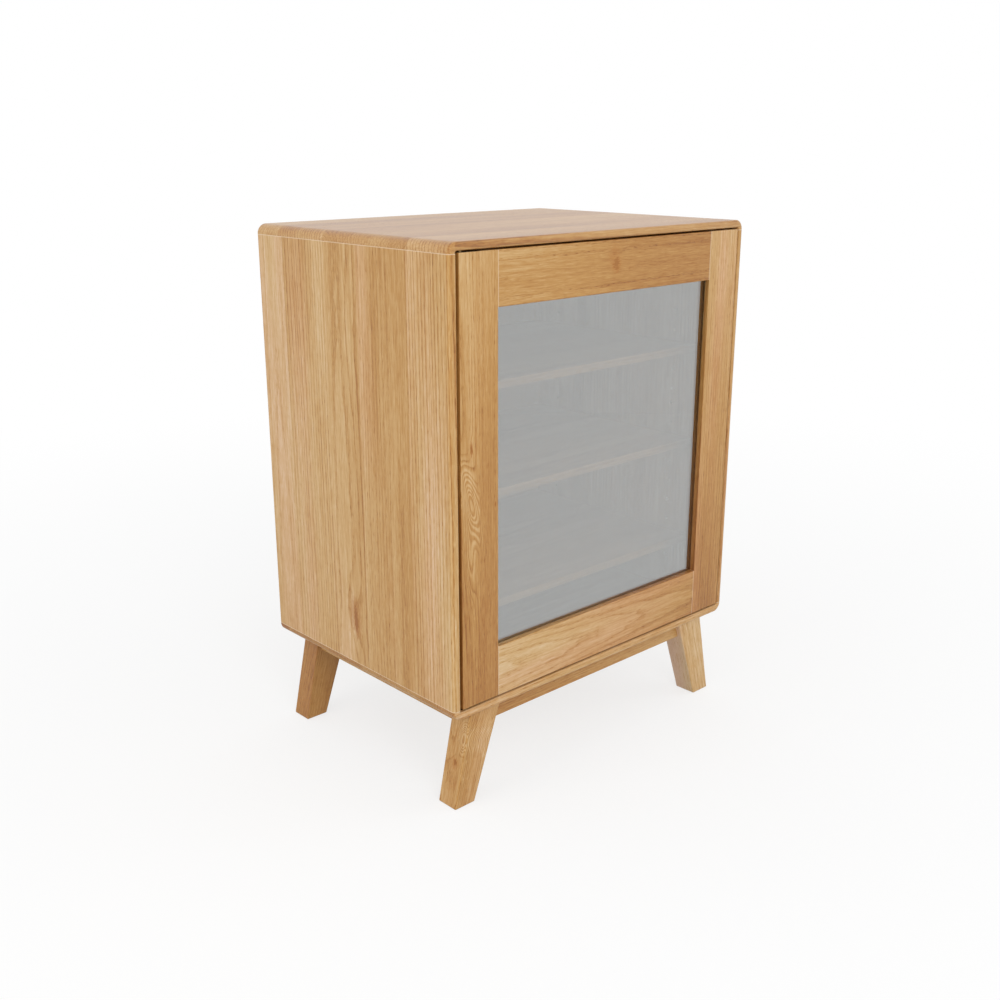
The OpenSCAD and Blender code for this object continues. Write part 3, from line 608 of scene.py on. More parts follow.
# a board whose ends curve down to the sides: a rounded profile swept front to back and drawn in towards both faces
def makeRoundEndBoard():
    inputs = {
        "Geometry": "Geometry", "Half Width": 0.29, "Half Depth": 0.21, "Thickness": 0.02, "End Drop": 0.014,
        "Inner Half Width": 0.27, "End Radius": 0.014, "Corner Radius": 0.006, "Arris": 0.0032, "Back Arris": 0.0012,
        "Door Half Width": 0.279, "Door Drop": 0.011, "Door Depth": 0.023, "Door Radius": 0.003,
        "Back Half Width": 0.28, "Back Drop": 0.010, "Back Depth": 0.008,
        "Pin X": -0.2665, "Pin Y": -0.202, "Pin Radius": 0.004, "Pin Roof": 0.003,
        "Height": 0.77, "Turn": 0.0, "Steps": 8, "Material": "Material",
    }
    w, given = newGroup("roundEndBoard", "GeometryNodeTree", inputs, {"Geometry": "Geometry"})
    halfWidth, halfDepth = given["Half Width"], given["Half Depth"]
    spare = 0.06      # the profile reaches this far down before the underside is cut flat
    over = 0.01       # cutters run past the faces by this much
    below = -spare / 2

    def profile(half, radius):
        sheet = w.add("GeometryNodeCurvePrimitiveQuadrilateral", {"Width": half * 2.0, "Height": spare})[0]
        return w.add("GeometryNodeFilletCurve", {"Curve": sheet, "Radius": radius, "Count": 10}, mode="POLY")[0]

    def sweep(path, outline):
        return w.add("GeometryNodeCurveToMesh", {"Curve": path, "Profile Curve": outline, "Fill Caps": True})[0]

    def place(shape, x, y, z):
        return w.add("GeometryNodeTransform", {"Geometry": shape, "Translation": w.join(x, y, z)})[0]

    def box(sizeX, sizeY, x, y, z):
        return place(w.add("GeometryNodeMeshCube", {"Size": w.join(sizeX, sizeY, spare)})[0], x, y, z)

    # sections lie close together near both faces
    last = given["Steps"] * 2.0 + 1.0
    line = w.add("GeometryNodeMeshLine", {"Count": last + 1.0})[0]
    fromMiddle = w.add("GeometryNodeInputIndex")[0] - last * 0.5
    step = (w.math("ABSOLUTE", fromMiddle) - 0.5) / given["Steps"]
    inset = given["Corner Radius"] * (1.0 - w.math("SINE", step * (math.pi / 2)))
    y = w.math("SIGN", fromMiddle) * (halfDepth - inset)
    line = w.add("GeometryNodeSetPosition", {"Geometry": line, "Position": w.join(0.0, y, 0.0)})[0]
    path = w.add("GeometryNodeMeshToCurve", {"Mesh": line})[0]
    body = place(sweep(path, profile(halfWidth, given["End Radius"])), 0.0, 0.0, below)

    at = w.split(w.add("GeometryNodeInputPosition")[0])
    depth = halfDepth - w.math("ABSOLUTE", at["Y"])
    front = w.math("LESS_THAN", at["Y"], 0.0)

    # how far a surface is drawn in near a face, for a round of the given radius; the back has its own
    def drawnIn(frontRadius):
        radius = given["Back Arris"] + front * (frontRadius - given["Back Arris"])
        left = w.math("MAXIMUM", radius - depth, 0.0)
        return radius - w.math("SQRT", w.math("MAXIMUM", radius * radius - left * left, 0.0))

    x = at["X"] * (1.0 - drawnIn(given["Corner Radius"]) / halfWidth)
    z = at["Z"] - w.ease(at["Z"], -given["End Drop"], 0.0) * drawnIn(given["Arris"])
    body = w.add("GeometryNodeSetPosition", {"Geometry": body, "Position": w.join(x, at["Y"], z)})[0]

    # cut away: the underside, the seats of the sides, the door's recess, the back's rebate and the pin's hole
    wholeDepth = halfDepth * 2.0 + 2 * over
    cutters = [box(halfWidth * 2.0 + 2 * over, wholeDepth, 0.0, 0.0, below - given["Thickness"])]
    seat = halfWidth + over - given["Inner Half Width"]
    seatX = given["Inner Half Width"] + seat * 0.5
    for middle in (seatX, -seatX):
        cutters.append(box(seat, wholeDepth, middle, 0.0, below - given["End Drop"]))
    start = w.join(0.0, -halfDepth - over, 0.0)
    end = w.join(0.0, given["Door Depth"] - halfDepth, 0.0)
    reach = w.add("GeometryNodeCurvePrimitiveLine", {"Start": start, "End": end})[0]
    recess = sweep(reach, profile(given["Door Half Width"], given["Door Radius"]))
    cutters.append(place(recess, 0.0, 0.0, below - given["Door Drop"]))
    rebate = given["Back Depth"] + over
    rebateY = halfDepth - given["Back Depth"] + rebate * 0.5
    cutters.append(box(given["Back Half Width"] * 2.0, rebate, 0.0, rebateY, below - given["Back Drop"]))
    pin = w.add("GeometryNodeMeshCylinder", {"Vertices": 32, "Radius": given["Pin Radius"], "Depth": spare})[0]
    cutters.append(place(pin, given["Pin X"], given["Pin Y"], below - given["Pin Roof"]))
    feeds = {"Geometry": carve(w, body, cutters), "Rotation": w.join(0.0, given["Turn"], 0.0),
             "Translation": w.join(0.0, 0.0, given["Height"])}
    return endTree(w, w.add("GeometryNodeTransform", feeds)[0], given["Material"])


roundEndBoard = makeRoundEndBoard()
for name, board in (("top_panel", topBoard), ("bottom_panel", bottomBoard)):
    material = oakMaterial(pieceName(name) + "Oak", "XYZ", **board["oak"])
    sizes = {"Height": board["height"], "Turn": board["turn"], "Pin X": board["pinX"], "Material": material}
    mesh = grow(pieceName(name), roundEndBoard, sizes)
    shape = welded(mesh)
    layer = shape.edges.layers.float.new("bevel_weight_edge")
    for edge in shape.edges:
        first, second = (vertex.co for vertex in edge.verts)
        onFront = max(first.y, second.y) < endBoard["faceSlack"] - endBoard["halfDepth"]
        fromOutside = abs((first.z + second.z) / 2 - board["height"])
        isWithin = max(abs(first.x), abs(second.x)) < endBoard["recessHalfWidth"]
        isSharp = len(edge.link_faces) == 2 and edge.calc_face_angle() > math.radians(endBoard["sharpAngle"])
        if onFront and isWithin and isSharp and fromOutside > endBoard["flatOutside"]:
            edge[layer] = 1.0
    shape.to_mesh(mesh)
    shape.free()
    putPiece(name, mesh, board["recessArris"])


# The other boards of the case

sides = {
    "arris": 0.0016,
    # Low End and High End are the joints where the painted highlight runs
    "look": {"Ring Width": 0.0056, "Ring Spread": 0.0, "Pith Depth": 0.085, "Wander": 0.006, "Ring Contrast": 0.36,
             "Stave Contrast": 0.36, "Pink": 0.50, "Low End": 0.156, "High End": 0.756},
    # the edge setting of each side is painted shade on its front and back edges
    "side_left": {
        "look": {"Tone": 0.105, "Face": -0.29, "Pith Side": 0.50, "Edge Shade": 0.05},
        "staves": {"from": -0.21, "to": 0.21, "boards": (
            (-0.21, (0.92, 0.95, 0.62)), (-0.1296, (0.44, 0.12, 0.42)), (-0.0245, (0.52, 0.48, 0.56)),
            (0.0486, (0.78, 0.62, 0.50)), (0.1461, (0.50, 0.05, 0.72)),
        )},
        "knots": (
            ((0.225, 0.0048, -0.29), 0.052, 0.010, 0.003, 1.0, 0.06),
            ((0.640, -0.002, -0.29), 0.090, 0.010, 0.005, 0.0, 0.03),
            ((0.230, 0.007, -0.29), 0.064, 0.026, 0.004, 0.42, 0.1),
        ),
    },
    "side_right": {
        "look": {"Tone": 0.12, "Face": 0.29, "Pith Side": 0.40, "Edge Shade": 0.16},
        "staveWidth": 0.09, "shift": 1.7,
    },
}
for name in ("side_left", "side_right"):
    oak = {**sides[name], "look": {**sides["look"], **sides[name]["look"]}}
    oakPiece(name, "ZYX", sides["arris"], **oak)

backPanel = {
    "arris": 0.0006, "staveWidth": 0.187, "shift": 0.093,
    "look": {"Tone": 0.02, "Face": 0.208, "Ring Width": 0.0055, "Pith Depth": 0.12, "Pith Side": 0.05, "Slope": 0.09,
             "Wander": 0.010, "Ring Contrast": 0.16, "Pore Contrast": 0.24, "Stave Contrast": 0.10, "Streaks": 0.6},
}
oakPiece("back_panel", "ZXY", **backPanel)

shelves = {
    "arris": 0.0012, "staveWidth": 0.075,
    "look": {"Tone": 0.06, "Ring Width": 0.0040, "Pith Depth": 0.07, "Ring Contrast": 0.14, "Stave Contrast": 0.14,
             "Streaks": 0.6, "Pink": 0.4},
    "boards": {      # shift of the staves, height of the upper face
        "shelf_lower": (0.2, 0.264), "shelf_middle": (1.13, 0.427), "shelf_upper": (2.41, 0.578),
    },
}
for name, (shift, face) in shelves["boards"].items():
    look = {**shelves["look"], "Face": face}
    oakPiece(name, "XYZ", shelves["arris"], staveWidth=shelves["staveWidth"], shift=shift, look=look)
print("timber: case boards and shelves ready")


# Door frame

door = {
    # the edge setting is painted shade on the frame's edge faces: the sight's reveals and the outer edges beside the
    # gaps
    "arris": 0.0009, "look": {"Face": -0.21, "Edge Shade": 0.22},
    "stiles": {
        "order": "ZXY", "half": 0.033, "ends": {},
        "cuts": (((0, 0, 0.2295), (0, 0, 1)), ((0, 0, 0.6865), (0, 0, 1))),      # at the sight's foot and head
        # on the stiles Tone Fall is partly the wood's own tone and partly painted shade, darker towards the bottom
        "pieces": {
            "door_stile_hinge": {
                "centre": -0.2425, "boards": ((-0.2755, (0.14, 0.45, 0.62)), (-0.2432, (0.50, 0.05, 0.36))),
                "knots": (
                    ((0.513, -0.2565, -0.21), 0.017, 0.0042, 0.003, 0.9, -0.03),
                    ((0.445, -0.259, -0.21), 0.050, 0.013, 0.022, 0.0, -0.25),
                    ((0.375, -0.2610, -0.21), 0.060, 0.009, 0.012, 0.0, -0.05),
                    ((0.4325, -0.2155, -0.21), 0.009, 0.0038, 0.002, 0.85, 0.0),
                ),
                "look": {"Tone": -0.335, "Tone Fall": 0.56, "Ring Width": 0.0036, "Pith Side": 0.05,
                         "Ring Contrast": 0.24, "Streaks": 0.8, "Pink": 0.1},
            },
            "door_stile_latch": {
                "centre": 0.245, "stave": (0.95, 0.90, 0.60),
                "look": {"Tone": -0.36, "Tone Fall": 0.65, "Ring Width": 0.0040, "Pith Side": 0.25,
                         "Ring Contrast": 0.16, "Streaks": 0.8, "Pink": 0.9},
            },
        },
    },
    "rails": {
        # the rails' ends are where the painted highlight runs along their joints with the stiles
        "order": "XZY", "half": 0.038, "ends": {"Low End": -0.2105, "High End": 0.213}, "cuts": (),
        "pieces": {
            "door_rail_top": {
                "centre": 0.72, "stave": (0.50, 0.55, 0.40),
                "knots": (
                    ((0.0065, 0.7250, -0.21), 0.0165, 0.021, 0.003, 0.8, 0.0),
                    ((0.003, 0.7360, -0.21), 0.023, 0.030, 0.0, 0.34, 0.0),
                ),
                "look": {"Tone": -0.09, "Tone Fall": -0.42, "Ring Width": 0.0060, "Pith Side": 0.02, "Wander": 0.010,
                         "Slope": 0.12, "Ring Contrast": 0.10, "Pore Contrast": 0.36, "Streaks": 0.8, "Pink": 0.0},
            },
            "door_rail_bottom": {
                "centre": 0.193, "stave": (0.42, 0.70, 0.62),
                "look": {"Tone": 0.05, "Tone Fall": -0.72, "Ring Width": 0.0052, "Pith Side": 0.03, "Wander": 0.012,
                         "Slope": 0.10, "Ring Contrast": 0.16, "Streaks": 0.7, "Pink": 0.8},
            },
        },
    },
}


# the staves of a narrow piece: its own boards, or one that takes its whole width
def narrowStaves(spec, half):
    low, high = spec["centre"] - half, spec["centre"] + half
    return {"from": low, "to": high, "boards": spec.get("boards") or ((low, spec["stave"]),)}


for kind in (door["stiles"], door["rails"]):
    for name, spec in kind["pieces"].items():
        oak = {"staves": narrowStaves(spec, kind["half"]), "knots": spec.get("knots", ()),
               "look": {**spec["look"], **door["look"], **kind["ends"]}}
        oakPiece(name, kind["order"], door["arris"], kind["cuts"], **oak)
print("timber: door frame ready")


# Base

base = {
    "legArris": 0.0016, "railArris": 0.0012, "splay": math.atan2(0.0402, 0.142), "halfLeg": 0.04,
    "legLook": {"Ring Width": 0.0034, "Pith Depth": 0.06, "Ring Contrast": 0.22, "Stave Contrast": 0.05},
    # each leg's edge setting paints shade on two of its faces, and painted light where it is below 0, as on the front
    # right leg's shaded side faces
    "legs": {
        "leg_front_left": {
            "side": -1, "order": "ZYX", "centre": -0.18, "stave": (0.50, 0.60, 0.50),
            "look": {"Face": -0.275, "Tone": 0.14, "Edge Shade": 0.02, "Pith Depth": 0.08, "Ring Contrast": 0.26,
                     "Pink": 0.4},
            "knots": (
                ((-0.0115, -0.1835, -0.275), 0.011, 0.008, 0.002, 0.95, 0.0),
                ((-0.014, -0.1825, -0.275), 0.020, 0.014, 0.002, 0.4, 0.0),
                ((0.026, -0.192, -0.275), 0.020, 0.0085, 0.022, 0.0, 0.0),
            ),
        },
        "leg_front_right": {
            "side": 1, "order": "ZXY", "centre": 0.253, "stave": (0.30, 0.50, 0.50),
            "look": {"Face": -0.198, "Tone": 0.25, "Edge Shade": -0.22, "Pink": 1.0},
        },
        "leg_back_left": {
            "side": -1, "order": "ZXY", "centre": -0.253, "stave": (0.70, 0.35, 0.50),
            "look": {"Face": 0.198, "Tone": -0.16, "Edge Shade": 0.17, "Ring Contrast": 0.14, "Streaks": 0.7,
                     "Pink": 0.0},
        },
        "leg_back_right": {
            "side": 1, "order": "ZXY", "centre": 0.253, "stave": (0.20, 0.60, 0.50),
            "look": {"Face": 0.198, "Tone": -0.02},
        },
    },
    "railLook": {"Ring Width": 0.0040, "Ring Contrast": 0.22, "Stave Contrast": 0.05},
    "railStave": 0.7,
    "rails": {      # order, face, tone, tone fall
        "rail_front": ("XZY", -0.19, -0.02, 0.55), "rail_back": ("XZY", 0.19, 0.02, 0.0),
        "rail_left": ("YZX", -0.25, -0.08, 0.0), "rail_right": ("YZX", 0.25, 0.0, 0.0),
    },
}
for name, leg in base["legs"].items():
    oak = {"staves": narrowStaves(leg, base["halfLeg"]), "knots": leg.get("knots", ()),
           "turn": (0, leg["side"] * base["splay"], 0), "look": {**base["legLook"], **leg["look"]}}
    oakPiece(name, leg["order"], base["legArris"], **oak)
for name, (order, face, tone, fall) in base["rails"].items():
    look = {**base["railLook"], "Face": face, "Tone": tone, "Tone Fall": fall}
    shift = base["railStave"] / 2 + tone
    oakPiece(name, order, base["railArris"], staveWidth=base["railStave"], shift=shift, look=look)
print("timber: base ready")


# Glazing beads and the wood of the dowels

beads = {
    "arris": 0.0008, "staveWidth": 0.6, "look": {"Tone": -0.30, "Streaks": 0.6},
    "strips": {      # order, shift of the staves
        "bead_top": ("XZY", 0.3), "bead_bottom": ("XZY", 1.3), "bead_left": ("ZXY", 2.2), "bead_right": ("ZXY", 3.4),
    },
}
for name, (order, shift) in beads["strips"].items():
    oakPiece(name, order, beads["arris"], staveWidth=beads["staveWidth"], shift=shift, look=beads["look"])

beechLook = {"Tone": 0.12, "Pore Contrast": 0.1, "Ring Contrast": 0.08}
beech = oakMaterial("beech", "ZXY", beechLook, staveWidth=0.05)


# Small parts: turned ones grow as rings round an axis and are set on points, each point carrying its own axis

metres = 0.001      # in a millimetre
mergeDistance = 0.000002


# rings lists (radius, height) pairs from the head's middle down to the tip; a closed set of rings makes a tube
def makeTurned(name, sizes, rings, cross=False):
    lengths = {label: value * metres for label, value in sizes.items()}
    inputs = {"Geometry": "Geometry", **lengths, "Sides": 16, "Flutes": 0, "Flute Share": 0.0, "Seed": 1,
              "Material": "Material"}
    w, given = newGroup(name, "GeometryNodeTree", inputs, {"Geometry": "Geometry"})
    rows = rings(given)
    columns = given["Sides"] + 1.0
    sheet = w.add("GeometryNodeMeshGrid", {"Vertices X": len(rows), "Vertices Y": columns})[0]
    index = w.add("GeometryNodeInputIndex")[0]
    row = w.math("FLOOR", (index + 0.5) / columns)
    picked = []
    for values in zip(*rows):
        choose = w.add("GeometryNodeIndexSwitch", data_type="FLOAT")
        while len(choose.node.index_switch_items) < len(rows):
            choose.node.index_switch_items.new()
        choose.feed({0: row, **dict(enumerate(values, 1))})
        picked.append(choose[0])
    angle = (index - row * columns) / given["Sides"] * (2 * math.pi)
    wave = (w.math("COSINE", angle * given["Flutes"]) + 1.0) * 0.5
    radius = picked[0] * (1.0 - wave * given["Flute Share"])
    place = w.join(radius * w.math("COSINE", angle), radius * w.math("SINE", angle), picked[1])
    shape = w.add("GeometryNodeSetPosition", {"Geometry": sheet, "Position": place})[0]
    shape = w.add("GeometryNodeMergeByDistance", {"Geometry": shape, "Distance": mergeDistance})[0]
    if cross:
        cutters = []
        for sizeX, sizeY in (("Cross Length", "Cross Width"), ("Cross Width", "Cross Length")):
            size = w.join(given[sizeX], given[sizeY], given["Cross Depth"] * 2.0)
            feeds = {"Geometry": w.add("GeometryNodeMeshCube", {"Size": size})[0],
                     "Translation": w.join(0.0, 0.0, rows[0][1])}
            cutters.append(w.add("GeometryNodeTransform", feeds)[0])
        shape = carve(w, shape, cutters)
    axis = w.add("GeometryNodeInputNamedAttribute", {"Name": "axis"}, data_type="FLOAT_VECTOR")[0]
    facing = w.add("FunctionNodeAlignRotationToVector", {"Vector": axis}, axis="Z")[0]
    spin = w.add("FunctionNodeRandomValue", {2: 0.0, 3: 2 * math.pi, "Seed": given["Seed"]}, data_type="FLOAT")[1]
    turn = w.add("FunctionNodeAxisAngleToRotation", {"Axis": (0, 0, 1), "Angle": spin})[0]
    turned = w.add("FunctionNodeRotateRotation", {"Rotation": facing, "Rotate By": turn}, rotation_space="LOCAL")[0]
    feeds = {"Points": given["Geometry"], "Instance": shape, "Rotation": turned}
    return endTree(w, w.add("GeometryNodeInstanceOnPoints", feeds)[0], given["Material"])


thread = {"ridges": 5, "valley": 0.76, "tip": 0.2}      # radii as shares of the shank's
sunkHead = {"flat": 0.94, "rim": 0.15 * metres}
nailHead = {"neck": 0.7, "rim": 0.5 * metres, "neckFrom": 0.7 * metres}


def shank(given):
    radius, start, tip = given["Radius"], -given["Thread From"], -given["Length"]
    run = given["Length"] - given["Thread From"] - radius * 2.0
    steps = 2 * thread["ridges"]
    rows = []
    for step in range(steps + 1):
        share = thread["valley"] if step % 2 else 1.0
        rows.append((radius * share, start + run * (-step / steps)))
    return rows + [(radius * thread["tip"], tip), (0.0, tip)]


def raisedHeadRings(given):
    dome = ((0.45, 0.98), (0.74, 0.86), (0.92, 0.62), (1.0, 0.3), (1.0, 0.0))
    rows = [(given["Head Radius"] * out, given["Head Height"] * up) for out, up in dome]
    return [(0.0, given["Head Height"]), *rows, (given["Radius"], 0.0), *shank(given)]


def sunkHeadRings(given):
    radius, head = given["Radius"], given["Head Radius"]
    top = [(0.0, 0.0), (head * sunkHead["flat"], 0.0), (head, -sunkHead["rim"]), (radius, radius - head)]
    return top + shank(given)


def pinRings(given):
    radius, flange, lip, ease = [given[label] for label in ("Radius", "Flange Radius", "Flange Depth", "Round")]
    out, inside = given["Out"], -given["In"]
    return [
        (0.0, out), (radius - ease, out), (radius, out - ease), (radius, lip), (flange - ease, lip),
        (flange, lip - ease), (flange, 0.0), (radius, 0.0), (radius, inside + ease), (radius - ease, inside),
        (0.0, inside),
    ]


def nailRings(given):
    radius, tip = given["Radius"], -given["Length"]
    neck = radius * nailHead["neck"]
    return [(0.0, 0.0), (radius, 0.0), (radius, -nailHead["rim"]), (neck, -nailHead["neckFrom"]),
            (neck, tip + radius * 2.0), (0.0, tip)]


def dowelRings(given):
    radius, top = given["Radius"], given["Length"] * 0.5
    rows = [(0.0, top), (radius - given["Round"], top), (radius, top - given["Round"])]
    return rows + [(out, -height) for out, height in reversed(rows)]


def flangedRingRings(given):
    bore, barrel, flange, ease = [given[label] for label in ("Bore", "Barrel Radius", "Flange Radius", "Round")]
    high, low = given["Flange Depth"], -given["Barrel Depth"]
    rows = [
        (bore + ease, high), (flange - ease, high), (flange, high - ease), (flange, 0.0), (barrel, 0.0),
        (barrel, low), (bore, low), (bore, high - ease),
    ]
    return rows + rows[:1]


# sizes in millimetres
screwSizes = {"Radius": 1.5, "Head Radius": 3.0, "Head Height": 1.8, "Length": 16.0, "Thread From": 4.0,
              "Cross Length": 3.2, "Cross Width": 0.7, "Cross Depth": 1.1}
pinSizes = {"Radius": 2.5, "Flange Radius": 4.0, "Flange Depth": 0.8, "Out": 9.0, "In": 9.0, "Round": 0.3}
ringSizes = {"Bore": 26.9, "Barrel Radius": 29.9, "Barrel Depth": 6.0, "Flange Radius": 32.9, "Flange Depth": 1.5,
             "Round": 0.4}
turnedTrees = {
    "raisedHead": makeTurned("raisedHeadScrew", screwSizes, raisedHeadRings, cross=True),
    "sunkHead": makeTurned("sunkHeadScrew", screwSizes, sunkHeadRings, cross=True),
    "pin": makeTurned("flangedPin", pinSizes, pinRings),
    "nail": makeTurned("headedNail", {"Radius": 0.7, "Length": 18.0}, nailRings),
    "dowel": makeTurned("flutedDowel", {"Radius": 4.0, "Length": 32.0, "Round": 0.8}, dowelRings),
    "ring": makeTurned("flangedRing", ringSizes, flangedRingRings),
}


def bothSides(points):
    return [(x * side, y, z) for x, y, z in points for side in (-1, 1)]


backScrewPlaces = (bothSides([(275, 208, 202 + 127 * step) for step in range(5)])
                   + bothSides([(x, 208, z) for x in (76.67, 230) for z in (157, 755)]))
baseScrewPlaces = ([(x, y, 120) for y in (-180, 180) for x in (-144.7, 0, 144.7)]
                   + bothSides([(238, y, 120) for y in (-112, 112)]))
pinPlaces = [(270, y, z) for y in (-102, 155) for z in (249.4, 412.4, 563.4)]
bradHeights = [289.5 + 112.333 * step for step in range(4)]
bradWidths = (-150.5, 1.25, 153)
leafScrewWidths = (-256.5, -246)

# each set: the tree, its sizes in millimetres, and for each axis the places of the parts that point that way
turnedSets = {
    "back_screws": {"tree": "raisedHead", "finish": steel, "sizes": {"Cross Depth": 0.9},
                    "places": {(0, 1, 0): backScrewPlaces}},
    "base_screws": {"tree": "raisedHead", "finish": steel, "places": {(0, 0, -1): baseScrewPlaces},
                    "sizes": {"Radius": 2.0, "Head Radius": 4.0, "Head Height": 3.0, "Length": 34.0,
                              "Thread From": 12.0, "Cross Length": 4.4, "Cross Width": 0.9, "Cross Depth": 1.6}},
    "hinge_screws": {"tree": "sunkHead", "finish": steel, "sizes": {"Length": 18.0},
                     "places": {(0, 0, 1): [(x, -202, 756.7) for x in leafScrewWidths],
                                (0, 0, -1): [(x, -202, 156.5) for x in leafScrewWidths]}},
    "latch_screws": {"tree": "sunkHead", "finish": steel, "sizes": {"Head Radius": 2.8, "Length": 14.0},
                     "places": {(0, 0, -1): [(x, -170, 747) for x in (245.5, 264.5)]}},
    "strike_screws": {"tree": "sunkHead", "finish": steel,
                      "sizes": {"Radius": 1.25, "Head Radius": 2.4, "Length": 12.0, "Thread From": 3.0,
                                "Cross Length": 2.6, "Cross Width": 0.6, "Cross Depth": 0.8},
                      "places": {(0, 1, 0): [(x, -188.8, 743) for x in (247.5, 262.5)]}},
    "shelf_pins": {"tree": "pin", "finish": steel, "sides": 24,
                   "places": {(-1, 0, 0): pinPlaces, (1, 0, 0): [(-x, y, z) for x, y, z in pinPlaces]}},
    "bead_brads": {"tree": "nail", "finish": steel, "sides": 10,
                   "places": {(0, 0, 1): [(x, -194, 229.5) for x in bradWidths],
                              (0, 0, -1): [(x, -194, 686.5) for x in bradWidths],
                              (1, 0, 0): [(-210.5, -194, z) for z in bradHeights],
                              (-1, 0, 0): [(213, -194, z) for z in bradHeights]}},
    "case_dowels": {"tree": "dowel", "finish": beech, "sides": 36, "flutes": 12,
                    "places": {(0, 0, 1): bothSides([(280, y, z) for y in (-147, -44, 59, 162) for z in (164, 748)])}},
    "leg_dowels": {"tree": "dowel", "finish": beech, "sides": 36, "flutes": 12,
                   "sizes": {"Radius": 5.0, "Length": 40.0},
                   "places": {(0, 0, 1): bothSides([(224.35, y, 134) for y in (-180, 180)])}},
    "cable_grommets": {"tree": "ring", "finish": blackPlastic, "sides": 72,
                       "places": {(0, 1, 0): [(0, 208, 342), (0, 208, 662)]}},
    "hinge_bush_top": {"tree": "ring", "finish": bronze, "sides": 40,
                       "sizes": {"Bore": 2.55, "Barrel Radius": 4.0, "Barrel Depth": 7.0, "Flange Radius": 4.0,
                                 "Flange Depth": 1.0, "Round": 0.2},
                       "places": {(0, 0, -1): [(-266.5, -202, 760)]}},
    "hinge_bush_bottom": {"tree": "ring", "finish": bronze, "sides": 40,
                          "sizes": {"Bore": 2.55, "Barrel Radius": 4.0, "Barrel Depth": 8.0, "Flange Radius": 5.0,
                                    "Flange Depth": 3.3, "Round": 0.2},
                          "places": {(0, 0, 1): [(-266.5, -202, 153)]}},
}
fluteShare = 0.05
for seed, (name, made) in enumerate(turnedSets.items()):
    spots = [(place, axis) for axis, places in made["places"].items() for place in places]
    start = bpy.data.meshes.new(name + "Places")
    start.from_pydata([Vector(place) * metres for place, axis in spots], [], [])
    carried = start.attributes.new("axis", "FLOAT_VECTOR", "POINT")
    for number, (place, axis) in enumerate(spots):
        carried.data[number].vector = axis
    sizes = {label: value * metres for label, value in made.get("sizes", {}).items()}
    sizes.update({"Sides": made.get("sides", 20), "Seed": seed, "Material": made["finish"]})
    if "flutes" in made:
        sizes.update({"Flutes": made["flutes"], "Flute Share": fluteShare})
    putPiece(name, grow(pieceName(name), turnedTrees[made["tree"]], sizes, start))
print("small parts:", len(turnedSets), "turned sets ready")

spring = {"Radius": 2.95 * metres, "Wire": 0.42 * metres, "Length": 15.3 * metres, "Turns": 7.0,
          "Place": (0.255, -0.14495, 0.743), "Material": steel}


# the latch's spring, with its axis front to back
def makeCoil():
    inputs = {"Geometry": "Geometry", "Radius": 0.003, "Wire": 0.0004, "Length": 0.015, "Turns": 7.0,
              "Place": (0, 0, 0), "Material": "Material"}
    w, given = newGroup("coil", "GeometryNodeTree", inputs, {"Geometry": "Geometry"})
    feeds = {"Resolution": 20, "Rotations": given["Turns"], "Start Radius": given["Radius"],
             "End Radius": given["Radius"], "Height": given["Length"]}
    path = w.add("GeometryNodeCurveSpiral", feeds)[0]
    wire = w.add("GeometryNodeCurvePrimitiveCircle", {"Resolution": 8, "Radius": given["Wire"]})[0]
    coil = w.add("GeometryNodeCurveToMesh", {"Curve": path, "Profile Curve": wire, "Fill Caps": True})[0]
    feeds = {"Geometry": coil, "Rotation": (-math.pi / 2, 0, 0), "Translation": given["Place"]}
    return endTree(w, w.add("GeometryNodeTransform", feeds)[0], given["Material"])


putPiece("latch_spring", grow("latchSpring", makeCoil(), spring))

easedParts = {      # material, arris in millimetres
    "hinge_leaf_top": (bronze, 0.3), "hinge_leaf_bottom": (bronze, 0.3), "strike_plate": (steel, 0.25),
    "latch_body": (blackPlastic, 0.5), "latch_plunger": (blackPlastic, 0.4), "latch_magnet": (steel, 0.3),
    "door_glass": (clearGlass, 0.4),
}
for name, (material, arris) in easedParts.items():
    easedPiece(name, material, arris * metres)
print("small parts: spring, hinge leaves, latch and glass ready")


# Camera, light and floor

viewpoint = {"place": (-1.1961, -1.2737, 0.8872), "down": 17.25, "turn": 42.9, "lens": 42.03, "sensor": 36.0}
cameraData = bpy.data.cameras.new("camera")
cameraData.lens = viewpoint["lens"]
cameraData.sensor_width = viewpoint["sensor"]
cameraObject = bpy.data.objects.new("camera", cameraData)
cameraObject.location = viewpoint["place"]
cameraObject.rotation_euler = (math.radians(90 - viewpoint["down"]), 0, math.radians(-viewpoint["turn"]))
scene.collection.objects.link(cameraObject)
scene.camera = cameraObject

studio = {
    "sky": (0.74, 0.75, 0.76, 1), "seen": (1, 1, 1, 1),
    "floor": 12.0, "floorDrop": 0.0005, "floorColour": (0.93, 0.93, 0.925, 1), "floorBounce": (0.60, 0.60, 0.59, 1),
    "floorRoughness": 0.9, "floorSpecular": 0.1,
    "clearFrom": 0.3, "clearTo": 2.4, "clearLeast": 0.72,      # the floor fades to plain white away from the cabinet
    "lamps": (
        {"name": "key", "place": (-1.5, -3.0, 1.8), "size": 2.2, "watts": 42.5},
        {"name": "side", "place": (-3.2, 0.3, 1.4), "size": 2.0, "watts": 20.3},
        {"name": "fill", "place": (2.6, -2.0, 1.6), "size": 2.0, "watts": 14.0},
    ),
    "aim": (0.0, 0.0, 0.5),
}


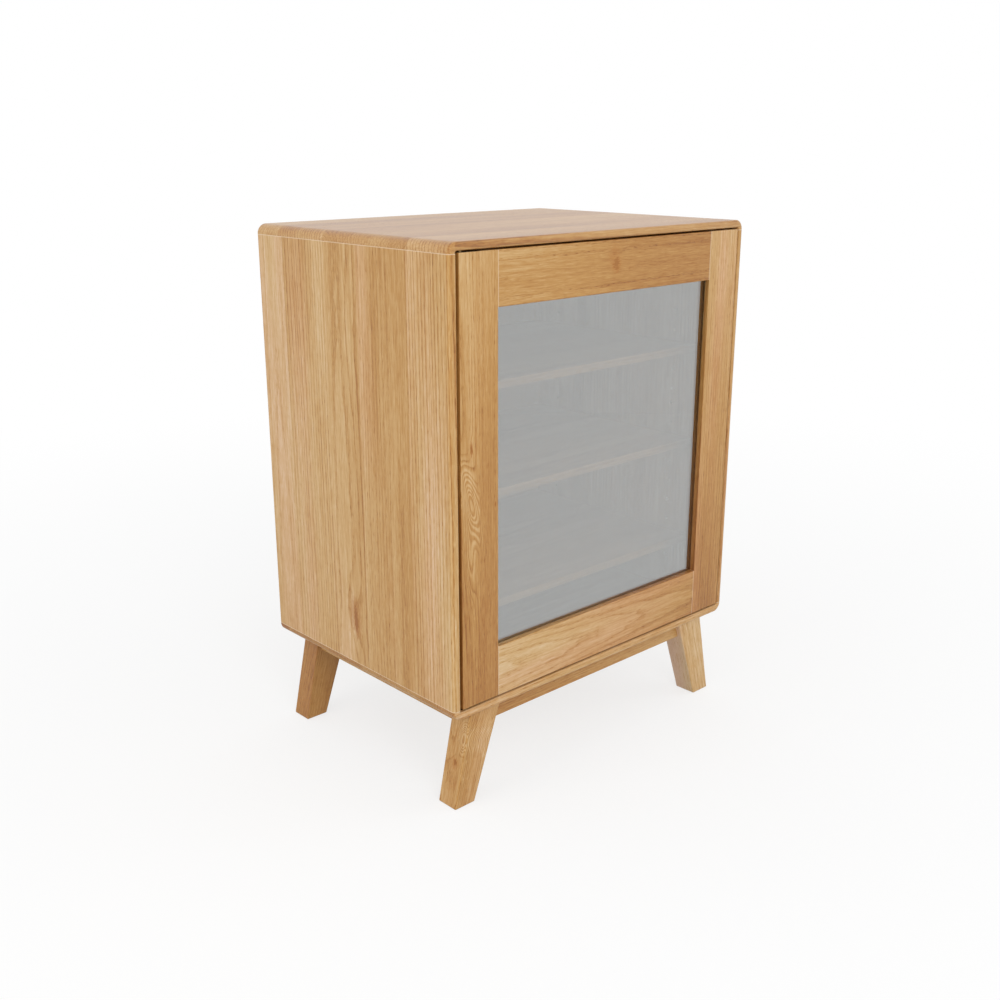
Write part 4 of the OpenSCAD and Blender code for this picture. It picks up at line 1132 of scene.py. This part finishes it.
# 1 for what the camera sees, straight, mirrored or through glass
def seenRays(w):
    path = w.add("ShaderNodeLightPath")
    sentOn = w.math("MAXIMUM", path["Is Glossy Ray"], path["Is Transmission Ray"])
    return w.math("MAXIMUM", path["Is Camera Ray"], sentOn)


world = bpy.data.worlds.new("studio")
scene.world = world
world.use_nodes = True
world.node_tree.nodes.clear()
w = Wiring(world.node_tree)
background = w.add("ShaderNodeBackground", {"Color": w.blend(seenRays(w), studio["sky"], studio["seen"])})
w.add("ShaderNodeOutputWorld", {"Surface": background[0]})

floorMesh = bpy.data.meshes.new("floor")
half = studio["floor"]
floorMesh.from_pydata([(-half, -half, 0), (half, -half, 0), (half, half, 0), (-half, half, 0)], [], [(0, 1, 2, 3)])
floor = bpy.data.objects.new("floor", floorMesh)
floor.location.z = -studio["floorDrop"]
scene.collection.objects.link(floor)
floorPaint, w, shader, surface = newMaterial("floorPaint")
seen = seenRays(w)
shader.feed({
    "Base Color": w.blend(seen, studio["floorBounce"], studio["floorColour"]),
    "Roughness": studio["floorRoughness"], "Specular IOR Level": studio["floorSpecular"],
})
away = w.vector("LENGTH", w.add("ShaderNodeTexCoord")["Object"], out=1)
clear = w.ease(away, studio["clearFrom"], studio["clearTo"], studio["clearLeast"], 1.0) * seen
glow = w.add("ShaderNodeEmission", {"Color": studio["seen"], "Strength": 1.0})
mixed = w.add("ShaderNodeMixShader", {0: clear, 1: shader[0], 2: glow[0]})
surface.feed({"Surface": mixed[0]})
floorMesh.materials.append(floorPaint)

for lamp in studio["lamps"]:
    light = bpy.data.lights.new(lamp["name"], "AREA")
    light.shape = "DISK"
    light.size = lamp["size"]
    light.energy = lamp["watts"]
    holder = bpy.data.objects.new(lamp["name"], light)
    holder.location = lamp["place"]
    holder.visible_glossy = False      # the top and the glass mirror the plain white around, not the lamps
    holder.rotation_euler = (Vector(studio["aim"]) - holder.location).to_track_quat("-Z", "Y").to_euler()
    scene.collection.objects.link(holder)

scene.view_settings.view_transform = "Standard"
print("studio: camera, floor and", len(studio["lamps"]), "lamps ready")
